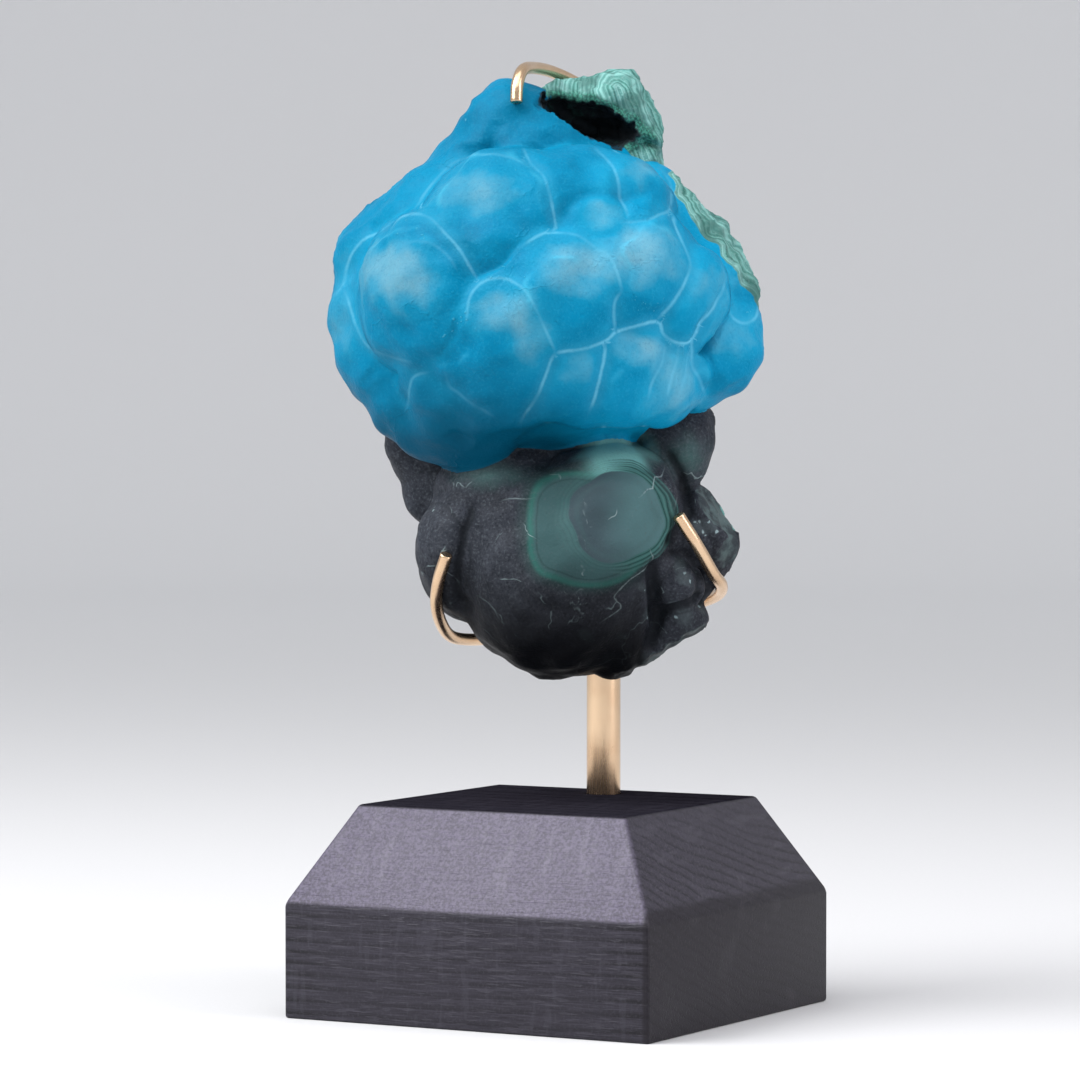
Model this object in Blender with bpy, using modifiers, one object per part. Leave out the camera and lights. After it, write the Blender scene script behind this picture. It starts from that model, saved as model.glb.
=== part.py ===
"""Botryoidal malachite specimen, held by three brass claws on a post in a wooden block.

The object stands on z = 0. X runs along the front of the block and Y goes back,
so the display face of the stone looks towards -Y. The origin is the middle of
the block's underside.
"""
import math

import bmesh
import bpy
from mathutils import Matrix, Vector, noise

MM = 0.001

# ---- driving dimensions, in millimetres ---------------------------------
BASE_WIDTH = 95.0          # along X
BASE_DEPTH = 90.0          # along Y
BASE_EDGE_HEIGHT = 26.5    # upright sides, up to the sloping shoulders
BASE_HEIGHT = 49.0         # flat top
BASE_TOP_INSET = 12.5      # how far the shoulders lean in on each side
BASE_EDGE_ROUND = 0.7      # sanded edges

POST_RADIUS = 4.0
POST_Y = 21.5              # behind the middle of the block
POST_TOP = 140.0
SOCKET_DEPTH = 18.0

CLAW_RADIUS = 1.5
CLAW_STEP = 2.5            # distance between the points of a claw's route
GAP = 0.3                  # fit between neighbouring pieces

STONE_TURN = math.radians(29.25)   # the stone's broad face is turned from -Y
REMESH_VOXEL = 1.25
STONE_DECIMATE = 0.125

# The stone is described across its broad face, towards the viewer of that
# face, and up. A rounded body carries the crust's bubbles, which are flattened
# along their growth, outwards from the body's middle.
CRUST_BODY = {"middle": (-3, -6, 165), "half": (49, 44, 40)}

# Solid stone behind the bubbles: middle and half sizes.
CORES = [
    ((-3, -6, 164), (46, 40, 37)),
    ((-4, -8, 190), (24, 20, 22)),
    ((3, -6, 112), (31, 22, 30)),
]

# Bubbles of the crust's face: across, up, radius, rise over the body, flattening.
CRUST_FACE = [
    (-36, 167.5, 19, 4, 0.62),
    (-16, 188, 17.5, 4, 0.6),
    (5.5, 191, 15, 3.5, 0.6),
    (18, 190.5, 11, 3.5, 0.7),
    (21.5, 172, 15.5, 5, 0.6),
    (1.5, 165.5, 15.5, 5, 0.6),
    (-11, 159, 12.5, 5, 0.6),
    (-17, 146, 16, 4.5, 0.6),
    (-29.5, 143, 9, 4, 0.7),
    (6, 146.5, 13, 4, 0.6),
    (17.5, 147, 13, 4, 0.6),
    (25, 145, 10, 5, 0.6),
    (29, 161, 8, 4.5, 0.6),
    (33, 168, 8, 4.5, 0.6),
    (10, 183.5, 7, 2.6, 0.6),
    (-16, 176.5, 5, 1.2, 0.5),
]

# Round bubbles at the crust's rim and neck: across, toward, up, radius.
CRUST_RIM = [
    (-39.5, -6, 160, 14.5),
    (-38.5, -8, 174, 14.5),
    (-28.5, -1, 182, 14.5),
    (-20.5, -3, 190.5, 12.5),
    (-36.5, 0, 153.5, 14.5),
    (-32, 4, 145.5, 13.5),
    (-24, 12, 136, 9.5),
    (-29.5, 8, 137, 9),
    (-17.5, 14, 136.5, 8.8),
    (-10.5, 0, 207.5, 9.5),
    (-16, 0, 200.5, 9),
    (-5, 2, 199, 12),
    (36.5, 8, 156, 11.8),
    (30.8, 9, 149.3, 9.2),
    (35.5, 7, 169, 10.5),
    (27, 5, 178.5, 9),
    (35, 4, 174.3, 9),
    (21.5, 0, 188, 8.5),
]

# Bare bubbles of the foot: across, toward, up, radius.
FOOT_BUBBLES = [
    (1, 5, 103, 25.6),
    (11, 10, 114.5, 18.5),
    (-13, 4, 117, 16.5),
    (-23, 8.5, 109.3, 10.7),
    (-21.5, 5, 101, 9.2),
    (-31.5, -8, 131.5, 9.5),
    (-26.8, -8, 121, 9.5),
    (27, 6, 129, 7.4),
    (27.5, 5, 133.5, 7),
    (28.3, 2, 138, 6.8),
    (31.5, 7, 113, 9),
    (35.5, 4, 107.5, 6),
    (30, 3, 100.3, 5.2),
    (26.8, 13.8, 100, 6.3),
    (26.2, 7, 92, 8),
    (15, 6, 88.5, 11),
]

# Bubbles around the back, where the mass rounds off above and below.
BACK_BUBBLES = [
    (-34, -22, 165, 16),
    (-30, -24, 147, 14),
    (-18, -24, 184, 17),
    (20, -8, 128, 14),
    (-18, -14, 104, 15),
]

# The broken shell over the hollow at the top: across, toward, up, radius.
SHELL_BUBBLES = [
    (12, -9, 209, 10.5),
    (1, -9, 210.6, 6.2),
    (18, -7, 204, 6.5),
    (20, -6, 197.2, 4.6),
]
HOLLOW_MIDDLE = (6, 0.5, 207)
HOLLOW_HALF = (12.5, 11, 4.5)
HOLLOW_TILT = math.radians(20)

# Broken faces. The stone was split off its matrix at the back, and a second
# break slants down the upper right.
BACK_FACE_Y = 16.2
BACK_FACE_ROUGH = 0.8
BREAK_POINT = (35.3, 16, 179.6)    # a point on the slanting break
BREAK_NORMAL = (0.77, 0.34, 0.54)
BREAK_ROUGH = 0.6
BREAK_REACH = 60.0

# Chips off the foot's right side: a point on the flat left behind, the way it
# faces, and how far it reaches.
CHIPS = [
    ((35.7, 8.2, 117), (0.77, 0.33, 0.54), 7),
    ((39.5, 7.7, 105.5), (0.72, 0.62, -0.30), 6),
    ((24, 8, 84.2), (0.50, 0.15, -0.85), 16),
]
CHIP_DEPTH = 9.0
CHIP_FLARE = 2.0           # depth of a chip's side for each unit that it opens

# Routes of the claws, from the post to the tip: across, toward, up.
CLAW_ROUTES = {
    "claw_left": [
        (6.7, -20.9, 88.5),
        (0.5, -24.0, 88.2),
        (-7, -24.5, 87.2),
        (-14.5, -19.5, 86),
        (-20.5, -11.5, 85.8),
        (-25.2, -3, 87),
        (-27.5, 5, 90.6),
        (-28.4, 12.4, 95.6),
        (-27.7, 17.4, 101.2),
        (-25.9, 20.7, 107),
    ],
    "claw_right": [
        (14.8, -18.8, 91),
        (24, -17, 92.6),
        (32, -9, 94.5),
        (36.7, 0, 96.8),
        (37.4, 8, 99.4),
        (35.2, 14.5, 102.5),
        (31.5, 19.3, 109),
        (27, 22, 116),
    ],
    "claw_top": [
        (10.5, -18.8, 140.3),
        (10.5, -18.8, 160),
        (10.5, -18.8, 185),
        (10.5, -18.8, 204),
        (9, -19, 212.5),
        (4.5, -17, 216.3),
        (-1.5, -10.8, 218.8),
        (-6, -2.5, 219.3),
        (-8.5, 5.6, 218.3),
        (-9.7, 9.6, 215),
        (-10, 10.9, 210.5),
    ],
}


def clear_scene():
    for item in list(bpy.data.objects):
        bpy.data.objects.remove(item, do_unlink=True)


def new_collection(name):
    collection = bpy.data.collections.new(name)
    bpy.context.scene.collection.children.link(collection)
    return collection


def new_material(name, color, roughness, metallic=0.0):
    material = bpy.data.materials.new(name)
    material.use_nodes = True
    shader = material.node_tree.nodes["Principled BSDF"]
    shader.inputs["Base Color"].default_value = (*color, 1.0)
    shader.inputs["Roughness"].default_value = roughness
    shader.inputs["Metallic"].default_value = metallic
    material.diffuse_color = (*color, 1.0)
    return material


def new_object(name, mesh, collection, material=None):
    item = bpy.data.objects.new(name, mesh)
    collection.objects.link(item)
    if material:
        item.data.materials.append(material)
    return item


def mark_as_cutter(item):
    item.hide_render = True
    item.display_type = "WIRE"
    return item


def add_boolean(item, other, operation, solver="EXACT"):
    modifier = item.modifiers.new(operation.title() + " " + other.name, "BOOLEAN")
    modifier.operation = operation
    modifier.object = other
    modifier.solver = solver
    return modifier


def stone_point(across, toward, up):
    """Millimetres in the stone's own directions to metres in the object's."""
    turn = Matrix.Rotation(STONE_TURN, 4, "Z")
    return turn @ Vector((across, -toward, up)) * MM


def stone_direction(vector):
    return (stone_point(*vector)).normalized()


def add_bubble(shape, middle, growth, radius, flattening=1.0):
    """One bubble, flattened along the direction in which it grew."""
    aim = growth.to_track_quat("Z", "Y").to_matrix().to_4x4()
    size = Matrix.Diagonal((radius, radius, radius * flattening, 1.0))
    bmesh.ops.create_icosphere(
        shape, subdivisions=3, radius=1.0, matrix=Matrix.Translation(middle) @ aim @ size
    )


def face_bubble(body, across, up, radius, rise, flattening):
    """A bubble that stands a given rise over the face of its rounded body."""
    middle, half = Vector(body["middle"]), Vector(body["half"])
    left = 1.0 - ((across - middle.x) / half.x) ** 2 - ((up - middle.z) / half.z) ** 2
    toward = middle.y + half.y * math.sqrt(max(left, 0.0))
    on_body = Vector((across, toward, up))
    growth = (on_body - middle).normalized()
    place = on_body + growth * (rise - flattening * radius)
    return stone_point(*place), stone_direction(growth), radius * MM, flattening


def add_core(shape, middle, half):
    turn = Matrix.Rotation(STONE_TURN, 4, "Z")
    size = Matrix.Diagonal((half[0] * MM, half[1] * MM, half[2] * MM, 1.0))
    place = Matrix.Translation(stone_point(*middle))
    bmesh.ops.create_icosphere(shape, subdivisions=4, radius=1.0, matrix=place @ turn @ size)


def finish_mesh(shape, name):
    mesh = bpy.data.meshes.new(name)
    shape.to_mesh(mesh)
    shape.free()
    return mesh


def add_remesh(item):
    modifier = item.modifiers.new("Grow together", "REMESH")
    modifier.mode = "VOXEL"
    modifier.voxel_size = REMESH_VOXEL * MM
    modifier.use_smooth_shade = True
    return modifier


def broken_slab(name, point, normal, reach, rough, seed, cutters):
    """A block whose face at the point is rough like broken stone."""
    shape = bmesh.new()
    bmesh.ops.create_grid(shape, x_segments=36, y_segments=36, size=reach * MM)
    for vert in shape.verts:
        spot = vert.co / MM
        coarse = noise.noise(spot / 17.0 + Vector((seed, 0, 0)))
        fine = noise.noise(spot / 6.0 + Vector((0, seed, 0)))
        vert.co.z = rough * MM * (1.1 * coarse + 0.5 * fine)
    raised = bmesh.ops.extrude_face_region(shape, geom=list(shape.faces))
    for part in raised["geom"]:
        if isinstance(part, bmesh.types.BMVert):
            part.co.z = reach * MM
    bmesh.ops.recalc_face_normals(shape, faces=list(shape.faces))
    aim = normal.to_track_quat("Z", "Y").to_matrix().to_4x4()
    bmesh.ops.transform(shape, matrix=Matrix.Translation(point) @ aim, verts=list(shape.verts))
    return mark_as_cutter(new_object(name, finish_mesh(shape, name), cutters))


def chip_cutters(cutters):
    """Flaring blocks whose small ends lie on the chips' flats."""
    shape = bmesh.new()
    for point, normal, reach in CHIPS:
        aim = stone_direction(normal).to_track_quat("Z", "Y").to_matrix().to_4x4()
        middle = stone_point(*point) + stone_direction(normal) * CHIP_DEPTH / 2 * MM
        bmesh.ops.create_cone(
            shape, cap_ends=True, segments=20, radius1=reach * MM,
            radius2=(reach + CHIP_DEPTH / CHIP_FLARE) * MM, depth=CHIP_DEPTH * MM,
            matrix=Matrix.Translation(middle) @ aim,
        )
    return mark_as_cutter(new_object("chips", finish_mesh(shape, "chips"), cutters))


def build_stone(parts, cutters, material):
    shape = bmesh.new()
    for middle, half in CORES:
        add_core(shape, middle, half)
    for row in CRUST_FACE:
        middle, growth, radius, flattening = face_bubble(CRUST_BODY, *row)
        add_bubble(shape, middle, growth, radius, flattening)
    for across, toward, up, radius in CRUST_RIM + FOOT_BUBBLES + BACK_BUBBLES:
        add_bubble(shape, stone_point(across, toward, up), Vector((0, 0, 1)), radius * MM)
    stone = new_object(
        "malachite_specimen", finish_mesh(shape, "malachite_specimen"), parts, material
    )
    add_remesh(stone)

    add_boolean(stone, chip_cutters(cutters), "DIFFERENCE")
    slanting = broken_slab(
        "slanting_break", stone_point(*BREAK_POINT), stone_direction(BREAK_NORMAL),
        BREAK_REACH, BREAK_ROUGH, 3.0, cutters,
    )
    add_boolean(stone, slanting, "DIFFERENCE")

    shape = bmesh.new()
    for across, toward, up, radius in SHELL_BUBBLES:
        add_bubble(shape, stone_point(across, toward, up), Vector((0, 0, 1)), radius * MM)
    shell = mark_as_cutter(new_object("broken_shell", finish_mesh(shape, "broken_shell"), cutters))
    add_remesh(shell)
    add_boolean(stone, shell, "UNION")

    shape = bmesh.new()
    tilt = Matrix.Rotation(STONE_TURN, 4, "Z") @ Matrix.Rotation(HOLLOW_TILT, 4, "Y")
    size = Matrix.Diagonal([value * MM for value in HOLLOW_HALF] + [1.0])
    place = Matrix.Translation(stone_point(*HOLLOW_MIDDLE))
    bmesh.ops.create_icosphere(shape, subdivisions=4, radius=1.0, matrix=place @ tilt @ size)
    hollow = mark_as_cutter(new_object("top_hollow", finish_mesh(shape, "top_hollow"), cutters))
    add_boolean(stone, hollow, "DIFFERENCE", "MANIFOLD")

    back = broken_slab(
        "back_break", Vector((0, BACK_FACE_Y * MM, 150 * MM)), Vector((0, 1, 0)),
        110.0, BACK_FACE_ROUGH, 8.0, cutters,
    )
    add_boolean(stone, back, "DIFFERENCE", "MANIFOLD")

    decimate = stone.modifiers.new("Fewer faces", "DECIMATE")
    decimate.ratio = STONE_DECIMATE
    decimate.use_collapse_triangulate = True
    return stone


def build_base(parts, cutters, material):
    """A block with upright sides, sloping shoulders and a socket for the post."""
    shape = bmesh.new()
    bmesh.ops.create_cube(shape, size=1.0)
    size = Matrix.Diagonal((BASE_WIDTH * MM, BASE_DEPTH * MM, BASE_EDGE_HEIGHT * MM, 1.0))
    lift = Matrix.Translation((0, 0, BASE_EDGE_HEIGHT * MM / 2))
    bmesh.ops.transform(shape, matrix=lift @ size, verts=list(shape.verts))
    top = max(shape.faces, key=lambda face: face.calc_center_median().z)
    raised = bmesh.ops.extrude_discrete_faces(shape, faces=[top])["faces"][0]
    shape.verts.ensure_lookup_table()
    narrow = Matrix.Diagonal((
        (BASE_WIDTH - 2 * BASE_TOP_INSET) / BASE_WIDTH,
        (BASE_DEPTH - 2 * BASE_TOP_INSET) / BASE_DEPTH,
        1.0,
        1.0,
    ))
    rise = Matrix.Translation((0, 0, (BASE_HEIGHT - BASE_EDGE_HEIGHT) * MM))
    bmesh.ops.transform(shape, matrix=rise @ narrow, verts=list(raised.verts))
    base = new_object("wood_base", finish_mesh(shape, "wood_base"), parts, material)
    bevel = base.modifiers.new("Sanded edges", "BEVEL")
    bevel.width = BASE_EDGE_ROUND * MM
    bevel.segments = 2
    bevel.limit_method = "ANGLE"
    bevel.angle_limit = math.radians(20)

    socket = bpy.data.meshes.new("post_socket")
    shape = bmesh.new()
    deep = SOCKET_DEPTH + GAP
    bmesh.ops.create_cone(
        shape, cap_ends=True, segments=48, radius1=(POST_RADIUS + GAP) * MM,
        radius2=(POST_RADIUS + GAP) * MM, depth=(deep + 5) * MM,
        matrix=Matrix.Translation((0, POST_Y * MM, (BASE_HEIGHT - deep / 2 + 2.5) * MM)),
    )
    shape.to_mesh(socket)
    shape.free()
    add_boolean(base, mark_as_cutter(new_object("post_socket", socket, cutters)), "DIFFERENCE")
    return base


def build_post(parts, material):
    bottom = BASE_HEIGHT - SOCKET_DEPTH
    length = POST_TOP - bottom
    shape = bmesh.new()
    bmesh.ops.create_cone(
        shape, cap_ends=True, segments=48, radius1=POST_RADIUS * MM,
        radius2=POST_RADIUS * MM, depth=length * MM,
        matrix=Matrix.Translation((0, POST_Y * MM, (bottom + length / 2) * MM)),
    )
    post = new_object("brass_post", finish_mesh(shape, "brass_post"), parts, material)
    post.data.shade_smooth()
    post.data.set_sharp_from_angle(angle=math.radians(35))
    bevel = post.modifiers.new("Broken edges", "BEVEL")
    bevel.width = 0.4 * MM
    bevel.segments = 1
    bevel.limit_method = "ANGLE"
    bevel.angle_limit = math.radians(40)
    return post


def smooth_route(points, step):
    """Points a step apart along a smooth curve through the given ones."""
    ends = [points[0] * 2 - points[1]] + points + [points[-1] * 2 - points[-2]]
    route = [points[0]]
    for index in range(1, len(ends) - 2):
        before, start, stop, after = ends[index - 1:index + 3]
        count = max(1, round((stop - start).length / (step * MM)))
        for turn in range(1, count + 1):
            t = turn / count
            route.append(0.5 * (
                2 * start
                + (stop - before) * t
                + (2 * before - 5 * start + 4 * stop - after) * t ** 2
                + (3 * start - before - 3 * stop + after) * t ** 3
            ))
    return route


def build_claw(name, route, parts, material):
    """A bent rod from the post to a tip that bears on the stone."""
    points = smooth_route([stone_point(*spot) for spot in route], CLAW_STEP)
    curve = bpy.data.curves.new(name, "CURVE")
    curve.dimensions = "3D"
    curve.bevel_depth = CLAW_RADIUS * MM
    curve.bevel_resolution = 2
    curve.use_fill_caps = True
    spline = curve.splines.new("POLY")
    spline.points.add(len(points) - 1)
    for spot, place in zip(spline.points, points):
        spot.co = (*place, 1.0)
    return new_object(name, curve, parts, material)


def main():
    clear_scene()
    parts = new_collection("botryoidal_malachite")
    cutters = new_collection("cutters")
    stone = new_material("malachite", (0.03, 0.36, 0.58), 0.45)
    wood = new_material("stained_wood", (0.035, 0.032, 0.042), 0.5)
    brass = new_material("brass", (0.72, 0.52, 0.30), 0.25, 1.0)
    build_stone(parts, cutters, stone)
    build_base(parts, cutters, wood)
    build_post(parts, brass)
    for name, route in CLAW_ROUTES.items():
        build_claw(name, route, parts, brass)


main()
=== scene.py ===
# %% [markdown]
# # A botryoidal malachite specimen on its stand
#
# Botryoidal means "like a bunch of grapes". Copper-rich water seeped through
# a hollow in the rock and left malachite on its walls, layer over layer. Each
# start of growth swelled into a bubble until it met its neighbours. Later a
# thin blue crust of chrysocolla coated the upper part. The stone is held by
# three brass claws on a post in a wooden block.
#
# This lesson dresses a imported model. The first cell loads it as a fixed frame
# and keeps its box, which gives the block and the post their size and holds the
# stone's skin inside it. The first cell loads it as a fixed frame and keeps its
# box, because the finished pieces have to stay inside it.

# %% Load the frame
import math

import bmesh
import bpy
import numpy as np
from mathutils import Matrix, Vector


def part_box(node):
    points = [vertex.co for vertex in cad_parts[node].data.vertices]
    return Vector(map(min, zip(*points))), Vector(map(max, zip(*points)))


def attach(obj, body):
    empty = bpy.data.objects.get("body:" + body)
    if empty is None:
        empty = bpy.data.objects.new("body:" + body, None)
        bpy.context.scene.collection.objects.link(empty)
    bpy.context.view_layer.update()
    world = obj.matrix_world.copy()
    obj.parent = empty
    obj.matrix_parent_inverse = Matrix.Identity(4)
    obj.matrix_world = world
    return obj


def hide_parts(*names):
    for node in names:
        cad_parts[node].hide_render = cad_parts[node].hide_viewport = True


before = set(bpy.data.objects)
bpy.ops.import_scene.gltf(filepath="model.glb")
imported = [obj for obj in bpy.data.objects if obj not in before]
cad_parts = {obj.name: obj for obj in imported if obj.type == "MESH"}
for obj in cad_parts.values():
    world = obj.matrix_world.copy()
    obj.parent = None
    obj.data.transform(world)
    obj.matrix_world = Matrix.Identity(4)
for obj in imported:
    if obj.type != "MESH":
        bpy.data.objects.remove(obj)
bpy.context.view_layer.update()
MM = 0.001

# %% [markdown]
# ## The stone in numbers
#
# The stone's broad face is turned a little from the front of the block, so
# its bubbles are given in its own directions: across the face, towards the
# viewer of that face, and up, all in millimetres. Bubbles on the face of the
# crust are given by where they stand on a rounded body and by how far they
# rise over it. The others are plain balls. The same short tables shaped the
# solid model, and here they also say where one bubble ends and the next
# begins, which no mesh could tell afterwards.

# %% Tables of bubbles
STONE_TURN = math.radians(29.25)
CRUST_MIDDLE = (-3, -6, 165)
CRUST_HALF = (49, 44, 40)

# Solid stone behind the bubbles: middle and half sizes.
CORES = {
    "crust": [((-3, -6, 164), (46, 40, 37)), ((-4, -8, 190), (24, 20, 22))],
    "foot": [((3, -6, 112), (31, 22, 30))],
}

# Bubbles of the crust's face: across, up, radius, rise over the body,
# flattening along their growth, and the skin that they share.
CRUST_FACE = [
    (-36, 167.5, 19, 4, 0.62, "west"),
    (-16, 188, 17.5, 4, 0.6, "brow"),
    (5.5, 191, 15, 3.5, 0.6, "crown"),
    (18, 190.5, 11, 3.5, 0.7, "temple"),
    (21.5, 172, 15.5, 5, 0.6, "east"),
    (1.5, 165.5, 15.5, 5, 0.6, "middle"),
    (-11, 159, 12.5, 5, 0.6, "belly"),
    (-17, 146, 16, 4.5, 0.6, "belly"),
    (-29.5, 143, 9, 4, 0.7, "cheek"),
    (6, 146.5, 13, 4, 0.6, "chin"),
    (17.5, 147, 13, 4, 0.6, "jaw"),
    (25, 145, 10, 5, 0.6, "layered"),
    (29, 161, 8, 4.5, 0.6, "drop"),
    (33, 168, 8, 4.5, 0.6, "drop"),
    (10, 183.5, 7, 2.6, 0.6, "bead"),
    (-16, 176.5, 5, 1.2, 0.5, "ridge"),
]

# Round bubbles: across, toward, up, radius, skin.
CRUST_RIM = [
    (-39.5, -6, 160, 14.5, "rim"),
    (-38.5, -8, 174, 14.5, "rim"),
    (-28.5, -1, 182, 14.5, "rim"),
    (-20.5, -3, 190.5, 12.5, "rim"),
    (-36.5, 0, 153.5, 14.5, "rim"),
    (-32, 4, 145.5, 13.5, "rim"),
    (-24, 12, 136, 9.5, "lip"),
    (-29.5, 8, 137, 9, "lip"),
    (-17.5, 14, 136.5, 8.8, "lip"),
    (-10.5, 0, 207.5, 9.5, "rim"),
    (-16, 0, 200.5, 9, "rim"),
    (-5, 2, 199, 12, "rim"),
    (36.5, 8, 156, 11.8, "ear"),
    (30.8, 9, 149.3, 9.2, "ear"),
    (35.5, 7, 169, 10.5, "flank"),
    (27, 5, 178.5, 9, "flank"),
    (35, 4, 174.3, 9, "flank"),
    (21.5, 0, 188, 8.5, "flank"),
    (-34, -22, 165, 16, "back_a"),
    (-30, -24, 147, 14, "back_b"),
    (-18, -24, 184, 17, "back_c"),
]
FOOT_BUBBLES = [
    (1, 5, 103, 25.6, "ball"),
    (11, 10, 114.5, 18.5, "ball"),
    (-13, 4, 117, 16.5, "ball"),
    (-23, 8.5, 109.3, 10.7, "left"),
    (-21.5, 5, 101, 9.2, "left"),
    (-31.5, -8, 131.5, 9.5, "left_top"),
    (-26.8, -8, 121, 9.5, "left_back"),
    (27, 6, 129, 7.4, "right_top"),
    (27.5, 5, 133.5, 7, "right_top"),
    (28.3, 2, 138, 6.8, "right_top"),
    (31.5, 7, 113, 9, "right"),
    (35.5, 4, 107.5, 6, "right"),
    (30, 3, 100.3, 5.2, "right"),
    (26.8, 13.8, 100, 6.3, "pearl"),
    (26.2, 7, 92, 8, "wedge"),
    (15, 6, 88.5, 11, "wedge_low"),
    (20, -8, 128, 14, "back_d"),
    (-18, -14, 104, 15, "back_e"),
]
SHELL_BUBBLES = [
    (12, -9, 209, 10.5, "shell"),
    (1, -9, 210.6, 6.2, "shell"),
    (18, -7, 204, 6.5, "shell"),
    (20, -6, 197.2, 4.6, "shell"),
]

# The hollow under the shell, and the two breaks.
HOLLOW_MIDDLE = (6, 0.5, 207)
HOLLOW_HALF = (12.5, 11, 4.5)
HOLLOW_TILT = math.radians(20)
BACK_FACE_Y = 16.2
BREAK_POINT = (35.3, 16, 179.6)
BREAK_NORMAL = (0.77, 0.34, 0.54)

# Chips off the foot's right side: a point on the flat left behind, the way it
# faces, and how far it reaches.
CHIPS = [
    ((35.7, 8.2, 117), (0.77, 0.33, 0.54), 7),
    ((39.5, 7.7, 105.5), (0.72, 0.62, -0.30), 6),
    ((24, 8, 84.2), (0.50, 0.15, -0.85), 16),
]
CHIP_FLARE = 2.0
print(len(CRUST_FACE) + len(CRUST_RIM), "crust bubbles,", len(FOOT_BUBBLES), "bare bubbles")

# %% [markdown]
# ## Distance to a bubble
#
# A ball is easy to describe without any mesh: a point's distance to its skin
# is its distance to the middle, less the radius. A flattened ball is nearly as
# easy. Every bubble here becomes one small record, and one function gives the
# distances of all the points to all the bubbles at once.

# %% Bubble records and distances
FOOT_HEART = (2, -4, 106)


def unit(vector):
    return np.asarray(vector, float) / np.linalg.norm(vector)


def face_bubble(across, up, radius, rise, flat, skin):
    """A flattened bubble that rises over the face of the crust's body."""
    middle, half = np.array(CRUST_MIDDLE, float), np.array(CRUST_HALF, float)
    left = 1 - ((across - middle[0]) / half[0]) ** 2 - ((up - middle[2]) / half[2]) ** 2
    on_body = np.array([across, middle[1] + half[1] * math.sqrt(max(left, 0)), up])
    growth = unit(on_body - middle)
    place = on_body + growth * (rise - flat * radius)
    return {"middle": place, "growth": growth, "radius": radius, "flat": flat,
            "skin": skin, "kind": "crust"}


def round_bubble(kind, across, toward, up, radius, skin):
    """A ball, which grew away from the middle of its own part of the stone."""
    heart = FOOT_HEART if kind == "foot" else CRUST_MIDDLE
    place = np.array([across, toward, up], float)
    return {"middle": place, "growth": unit(place - np.array(heart) + 1e-6), "radius": radius,
            "flat": 1.0, "skin": skin, "kind": kind}


bubbles = [face_bubble(*row) for row in CRUST_FACE]
bubbles += [round_bubble("crust", *row) for row in CRUST_RIM]
bubbles += [round_bubble("foot", *row) for row in FOOT_BUBBLES]
bubbles += [round_bubble("shell", *row) for row in SHELL_BUBBLES]
kinds = np.array([bubble["kind"] for bubble in bubbles])
skins = np.array([bubble["skin"] for bubble in bubbles])
skin_number = {name: index for index, name in enumerate(dict.fromkeys(skins))}
skin_of = np.array([skin_number[name] for name in skins])


def bubble_distance(points, bubble):
    away = points - bubble["middle"]
    if bubble["flat"] == 1.0:
        return np.linalg.norm(away, axis=1) - bubble["radius"]
    along = away @ bubble["growth"]
    aside = np.maximum((away ** 2).sum(axis=1) - along ** 2, 0)
    wide, tall = bubble["radius"], bubble["radius"] * bubble["flat"]
    first = np.sqrt(aside / wide ** 2 + (along / tall) ** 2)
    second = np.sqrt(aside / wide ** 4 + (along / tall ** 2) ** 2) + 1e-9
    return first * (first - 1) / second


def core_distance(points, core):
    middle, half = np.array(core[0], float), np.array(core[1], float)
    away = (points - middle) / half
    first = np.sqrt((away ** 2).sum(axis=1))
    second = np.sqrt(((away / half) ** 2).sum(axis=1)) + 1e-9
    return first * (first - 1) / second


def all_distances(points):
    return np.stack([bubble_distance(points, bubble) for bubble in bubbles], axis=1)


print(len(bubbles), "bubble records in", len(skin_number), "skins")

# %% [markdown]
# ## The whole stone as one distance
#
# Joining bubbles is taking the smallest of their distances. A soft smallest
# rounds the crease between two of them by a fraction of a millimetre, as the
# last layers of growth did. Where the stone is broken, it takes the largest of
# the stone's distance and the break's, which cuts it off there. The shell at
# the top is left by the slanting break, so it is joined after that cut.

# %% Distance to the stone
CREASE_SOFT = {"crust": 1.7, "foot": 1.0}
CREASE_SHRINK = {"crust": 0.25, "foot": 0.0}
LIP_SOFT = 0.5
SHELL_SOFT = 0.6
SKIN_SOFT = 2.4
SKIN_SHRINK = 0.35
SKIN_WANDER, HOLLOW_WANDER, CHIP_WANDER = 0.45, 0.5, 0.35
BREAK_NORMAL_UNIT = unit(BREAK_NORMAL)
BREAK_LEVEL = float(BREAK_NORMAL_UNIT @ np.array(BREAK_POINT, float))
BACK_NORMAL = np.array([math.sin(STONE_TURN), -math.cos(STONE_TURN), 0.0])


def soft_smallest(distances, softness):
    least = distances.min(axis=1)
    spread = np.exp(-(distances - least[:, None]) / softness).sum(axis=1)
    return least - softness * np.log(spread)


def waves(points, size, seed, count=10):
    """Waves of about the given size, between about -1 and 1, in many directions."""
    dice = np.random.default_rng(seed)
    ways = dice.normal(size=(count, 3))
    ways /= np.linalg.norm(ways, axis=1)[:, None]
    pace = 2 * math.pi / (size * dice.uniform(0.75, 1.5, count))
    start = dice.uniform(0, 2 * math.pi, count)
    return np.sin(points @ (ways * pace[:, None]).T + start).sum(axis=1) / math.sqrt(count)


def hollow_distance(points):
    away = points - np.array(HOLLOW_MIDDLE, float)
    cos, sin = math.cos(HOLLOW_TILT), math.sin(HOLLOW_TILT)
    turned = np.stack([
        away[:, 0] * cos - away[:, 2] * sin,
        away[:, 1],
        away[:, 0] * sin + away[:, 2] * cos,
    ], axis=1)
    first = np.linalg.norm(turned / np.array(HOLLOW_HALF), axis=1)
    return (first - 1) * HOLLOW_HALF[2] + HOLLOW_WANDER * waves(points, 7, 11)


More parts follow.
